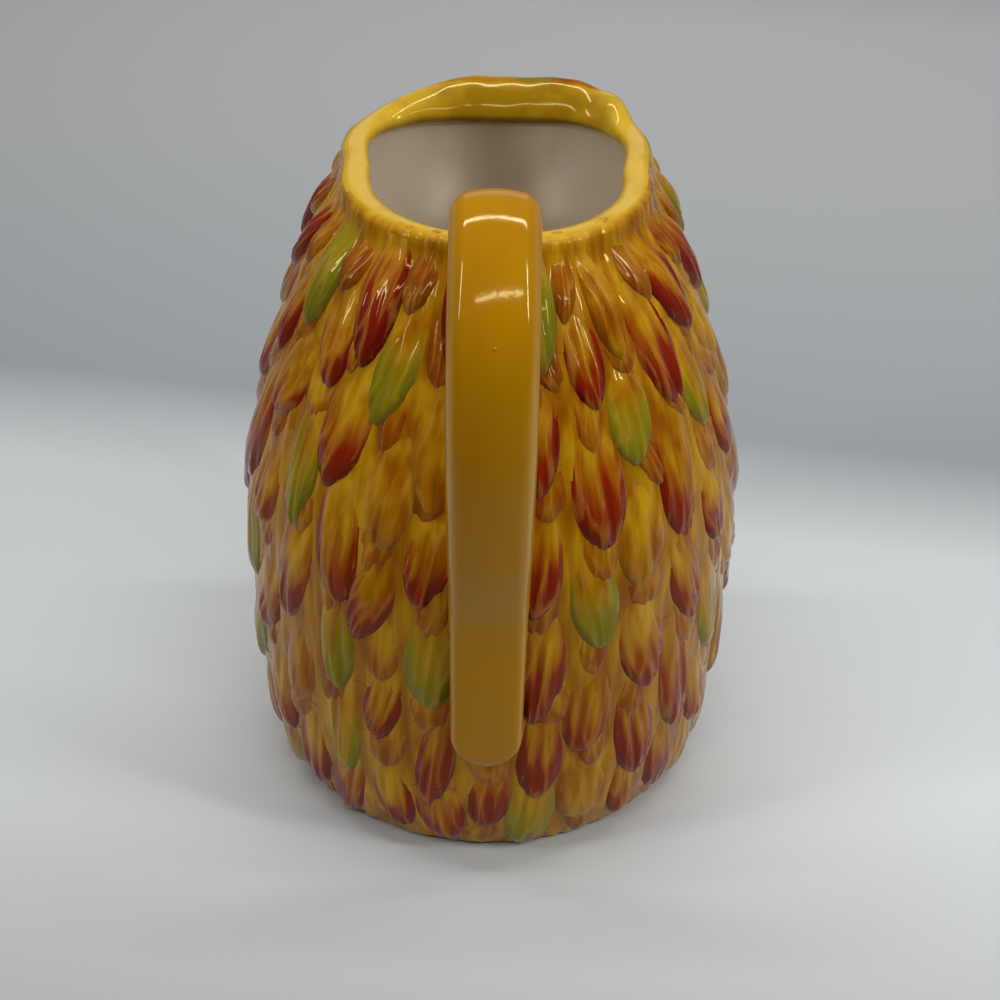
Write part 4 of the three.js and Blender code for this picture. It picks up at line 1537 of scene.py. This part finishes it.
def plate_point(form, share_out, angle, sunk):
    across = share_out * form.sizes.half_width * math.cos(angle)
    up = share_out * form.sizes.half_height * math.sin(angle)
    return form.point(across, up, sunk)


def plate_share(form, co):
    """0 in the middle of the face and 1 at its edge."""
    angle = math.remainder(math.atan2(co.x, co.y) - FRONT, FULL_TURN)
    across = angle * form.jug.sizes.belly_radius / form.sizes.half_width
    up = (co.z - FACE_RISE - form.sizes.height) / form.sizes.half_height
    return math.hypot(across, up)


def turned_along(name, profile, base, axis):
    """Turned piece whose profile, as radius and length, is laid along an axis from its base."""
    turn_to = Vector((0, 0, 1)).rotation_difference(axis).to_matrix()
    ways = [Vector((math.cos(angle), math.sin(angle), 0)) for angle in turns(TURNED_SIDES)]
    loops = []
    for radius, along in profile:
        loops.append([base + turn_to @ (way * radius + Vector((0, 0, along))) for way in ways])
    return loft(name, loops)


def bezier(points, count):
    first, pull, push, last = (Vector(point) for point in points)
    curve = []
    for t in evenly(0.0, 1.0, count):
        rest = 1 - t
        curve.append(first * rest**3 + pull * 3 * rest**2 * t + push * 3 * rest * t**2 + last * t**3)
    return curve


def snout_profile(sizes):
    """Cone with a hollow side, rooted inside the face."""
    length, base, tip = sizes.snout_length, sizes.snout_base, sizes.snout_tip
    side = bezier(((base, 0), (base * 0.8, length * 0.2), (tip * 1.6, length * 0.7), (tip, length)), 24)
    return [(base * 1.03, -sizes.crown), *side, (tip * 0.6, length)]


def nose_profile(sizes):
    """Ball, cut where the snout's tip meets it."""
    radius = sizes.nose_radius
    back = math.asin(min(sizes.snout_tip / radius, 1.0))
    return ball_profile(radius, math.pi - back, 20, radius * math.cos(back), 1.0)


def eye_profile(sizes):
    """Dome, a little more than half of a flattened ball."""
    return ball_profile(sizes.eye_radius, math.pi * 0.62, 18, 0.0, 0.95)


def ball_profile(radius, start, count, lift, flatness):
    return [
        (radius * max(math.sin(angle), POLE_SHARE), radius * flatness * math.cos(angle) + lift)
        for angle in evenly(start, 0.0, count)
    ]


def ear_cup(jug, sizes, name, side):
    """Dished ear on a short stalk beside the top of the face, turned half way to the front."""
    angle = FRONT - side * sizes.ear_angle
    seat = jug.around(angle, jug.skin(sizes.ear_height, sizes.ear_standoff), sizes.ear_height)
    level = Vector((math.sin(angle), math.cos(angle) - 1, 0)).normalized()
    facing = level * math.cos(sizes.ear_tilt) + Vector((0, 0, math.sin(sizes.ear_tilt)))
    sunk = -(sizes.ear_standoff + SEAT_GAP) / sizes.ear_thickness
    stalk = ((POLE_SHARE, sunk), (sizes.ear_stalk, sunk), (sizes.ear_stalk, -0.75))
    outline = ((0.78, -0.52), (0.92, -0.32), (1.0, 0.02), (0.97, 0.32))
    dish = ((0.9, 0.47), (0.82, 0.42), (0.7, 0.16), (0.5, -0.04), (0.25, -0.14), (POLE_SHARE, -0.17))
    profile = [(sizes.ear_radius * out, sizes.ear_thickness * up) for out, up in stalk + outline + dish]
    ear = turned_along(name, profile, seat, facing)

    def ear_tan(co):
        return EAR_TAN + EAR_EDGE_TAN * smooth_step((co - seat).length, 0.0, sizes.ear_radius)

    mark(ear, "rim_share", ear_tan)
    return ear


# Each lamp's name and setting, its place, the point that it is aimed at, and its length and breadth
LAMPS = (
    ("top_strip", "top_power", (0.0, 0.04, 1.02), (0.0, 0.04, 0.2), (1.10, 0.045)),
    ("near_strip", "near_power", (-0.1, 0.76, 0.95), (0.0, 0.09, 0.2), (0.90, 0.030)),
    ("right_strip", "right_power", (-0.75, 0.45, 0.75), (0.0, 0.0, 0.12), (0.05, 0.45)),
    ("left_strip", "left_power", (0.75, 0.45, 0.75), (0.0, 0.0, 0.12), (0.05, 0.45)),
    ("far_panel", "far_power", (0.0, -0.95, 0.75), (0.0, 0.0, 0.12), (0.80, 0.40)),
)
# The floor's reach, where its colours begin from front to back, the length of that run and its slant
FLOOR_REACH = 4.0
FLOOR_TONES = (
    (0.08, "front_colour"),
    (0.17, "near_colour"),
    (0.33, "floor_colour"),
    (0.43, "floor_colour"),
    (0.49, "fold_colour"),
    (1.0, "wall_colour"),
)
FLOOR_FADE = 1.5
FLOOR_SLANT = 0.18
# Point that the camera stands away from
STANCE = Vector((0.0, 0.0, 100 * MM))


class PITCHER_OT_studio(bpy.types.Operator):
    """Make the floor, the backdrop, the lamps and the camera"""

    bl_idname = "pitcher.studio"
    bl_label = "Studio"

    def execute(self, context):
        settings = context.scene.pitcher_studio
        floor = studio_floor()
        floor.data.materials.append(floor_paint(settings))
        context.scene.world = soft_sky(settings)
        for name, setting, place, aim, area in LAMPS:
            add_lamp(name, getattr(settings, setting), place, aim, area)
        add_camera(context.scene, settings)
        context.scene.view_settings.view_transform = "Standard"
        return {"FINISHED"}


def soft_sky(settings):
    """Even light that is bright overhead, and dim towards the horizon and on the handle's side."""
    world = bpy.data.worlds.new("soft_sky")
    world.use_nodes = True
    sketch = Sketch(world.node_tree)
    direction = sketch.node("ShaderNodeTexCoord").outputs["Generated"]
    way = sketch.parts(direction)
    light = sketch.ramp(way["Z"], [(0.0, settings.horizon), (0.9, settings.zenith)])
    dim = sketch.limit(sketch.line(way["Y"], 1.2, -0.1))
    toned = sketch.blend(dim, light, settings.shade)
    sketch.put(world.node_tree.nodes["Background"].inputs["Color"], toned)
    return world


def studio_floor():
    """Flat floor, wide enough to fill the picture."""
    data = bpy.data.meshes.new("studio_floor")
    corners = [(x * FLOOR_REACH, y * FLOOR_REACH, 0.0) for x, y in ((-1, -1), (1, -1), (1, 1), (-1, 1))]
    data.from_pydata(corners, [], [(0, 1, 2, 3)])
    return linked("studio_floor", data)


def floor_paint(settings):
    """Pale paint that turns to a soft grey behind the pitcher, with shade painted where the floor folds
    into the backdrop.
    """
    material = bpy.data.materials.new("floor_paint")
    material.use_nodes = True
    sketch = Sketch(material.node_tree)
    shader = material.node_tree.nodes["Principled BSDF"]
    place = sketch.parts(sketch.place())
    slanted = sketch.line(place["X"], FLOOR_SLANT, place["Y"])
    behind = sketch.line(slanted, -1 / FLOOR_FADE, 1 / 3)
    stops = [(start, getattr(settings, setting)) for start, setting in FLOOR_TONES]
    sketch.put(shader.inputs["Base Color"], sketch.ramp(behind, stops))
    shader.inputs["Roughness"].default_value = 0.6
    shader.inputs["Specular IOR Level"].default_value = 0.2
    return material


def add_lamp(name, watts, place, aim, area):
    data = bpy.data.lights.new(name, "AREA")
    data.shape = "RECTANGLE"
    data.size, data.size_y = area
    data.energy = watts
    lamp = linked(name, data)
    lamp.location = place
    lamp.rotation_euler = (Vector(aim) - Vector(place)).to_track_quat("-Z", "Y").to_euler()


def add_camera(scene, settings):
    data = bpy.data.cameras.new("camera")
    data.lens = settings.lens
    data.sensor_width = 36.0
    data.sensor_fit = "HORIZONTAL"
    data.clip_start = 0.01
    camera = linked("camera", data)
    rise = settings.camera_rise
    away = Vector((0.0, math.cos(rise), math.sin(rise))) * settings.camera_distance
    camera.location = STANCE + away
    look = (Vector(settings.target) - camera.location).to_track_quat("-Z", "Y").to_matrix()
    camera.rotation_euler = (look @ Matrix.Rotation(settings.camera_roll, 3, "Z")).to_euler()
    scene.camera = camera


class PITCHER_PT_panel(bpy.types.Panel):
    """Lists the pieces of the pitcher and its sizes and glazes"""

    bl_idname = "PITCHER_PT_panel"
    bl_label = "Hedgehog Pitcher"
    bl_space_type = "VIEW_3D"
    bl_region_type = "UI"
    bl_category = "Pitcher"

    def draw(self, context):
        for operator in OPERATORS:
            self.layout.operator(operator.bl_idname)
        for name, group in GROUPS.items():
            box = self.layout.box()
            box.label(text=group.__doc__)
            values = getattr(context.scene, name)
            for field in group.__annotations__:
                box.prop(values, field)


GROUPS = {
    "pitcher_jug": JugSizes,
    "pitcher_quills": QuillSizes,
    "pitcher_handle": HandleSizes,
    "pitcher_face": FaceSizes,
    "pitcher_glazes": GlazeColours,
    "pitcher_studio": StudioSettings,
}
OPERATORS = (
    PITCHER_OT_wall,
    PITCHER_OT_rim,
    PITCHER_OT_handle,
    PITCHER_OT_quills,
    PITCHER_OT_face,
    PITCHER_OT_studio,
)


def register():
    for group in GROUPS.values():
        bpy.utils.register_class(group)
    for name, group in GROUPS.items():
        setattr(bpy.types.Scene, name, PointerProperty(type=group))
    for operator in OPERATORS:
        bpy.utils.register_class(operator)
    bpy.utils.register_class(PITCHER_PT_panel)


def unregister():
    bpy.utils.unregister_class(PITCHER_PT_panel)
    for operator in reversed(OPERATORS):
        bpy.utils.unregister_class(operator)
    for name in GROUPS:
        delattr(bpy.types.Scene, name)
    for group in reversed(GROUPS.values()):
        bpy.utils.unregister_class(group)


def main():
    register()
    bpy.ops.pitcher.wall()
    bpy.ops.pitcher.rim()
    bpy.ops.pitcher.handle()
    bpy.ops.pitcher.quills()
    bpy.ops.pitcher.face()
    bpy.ops.pitcher.studio()


if __name__ == "__main__":
    main()
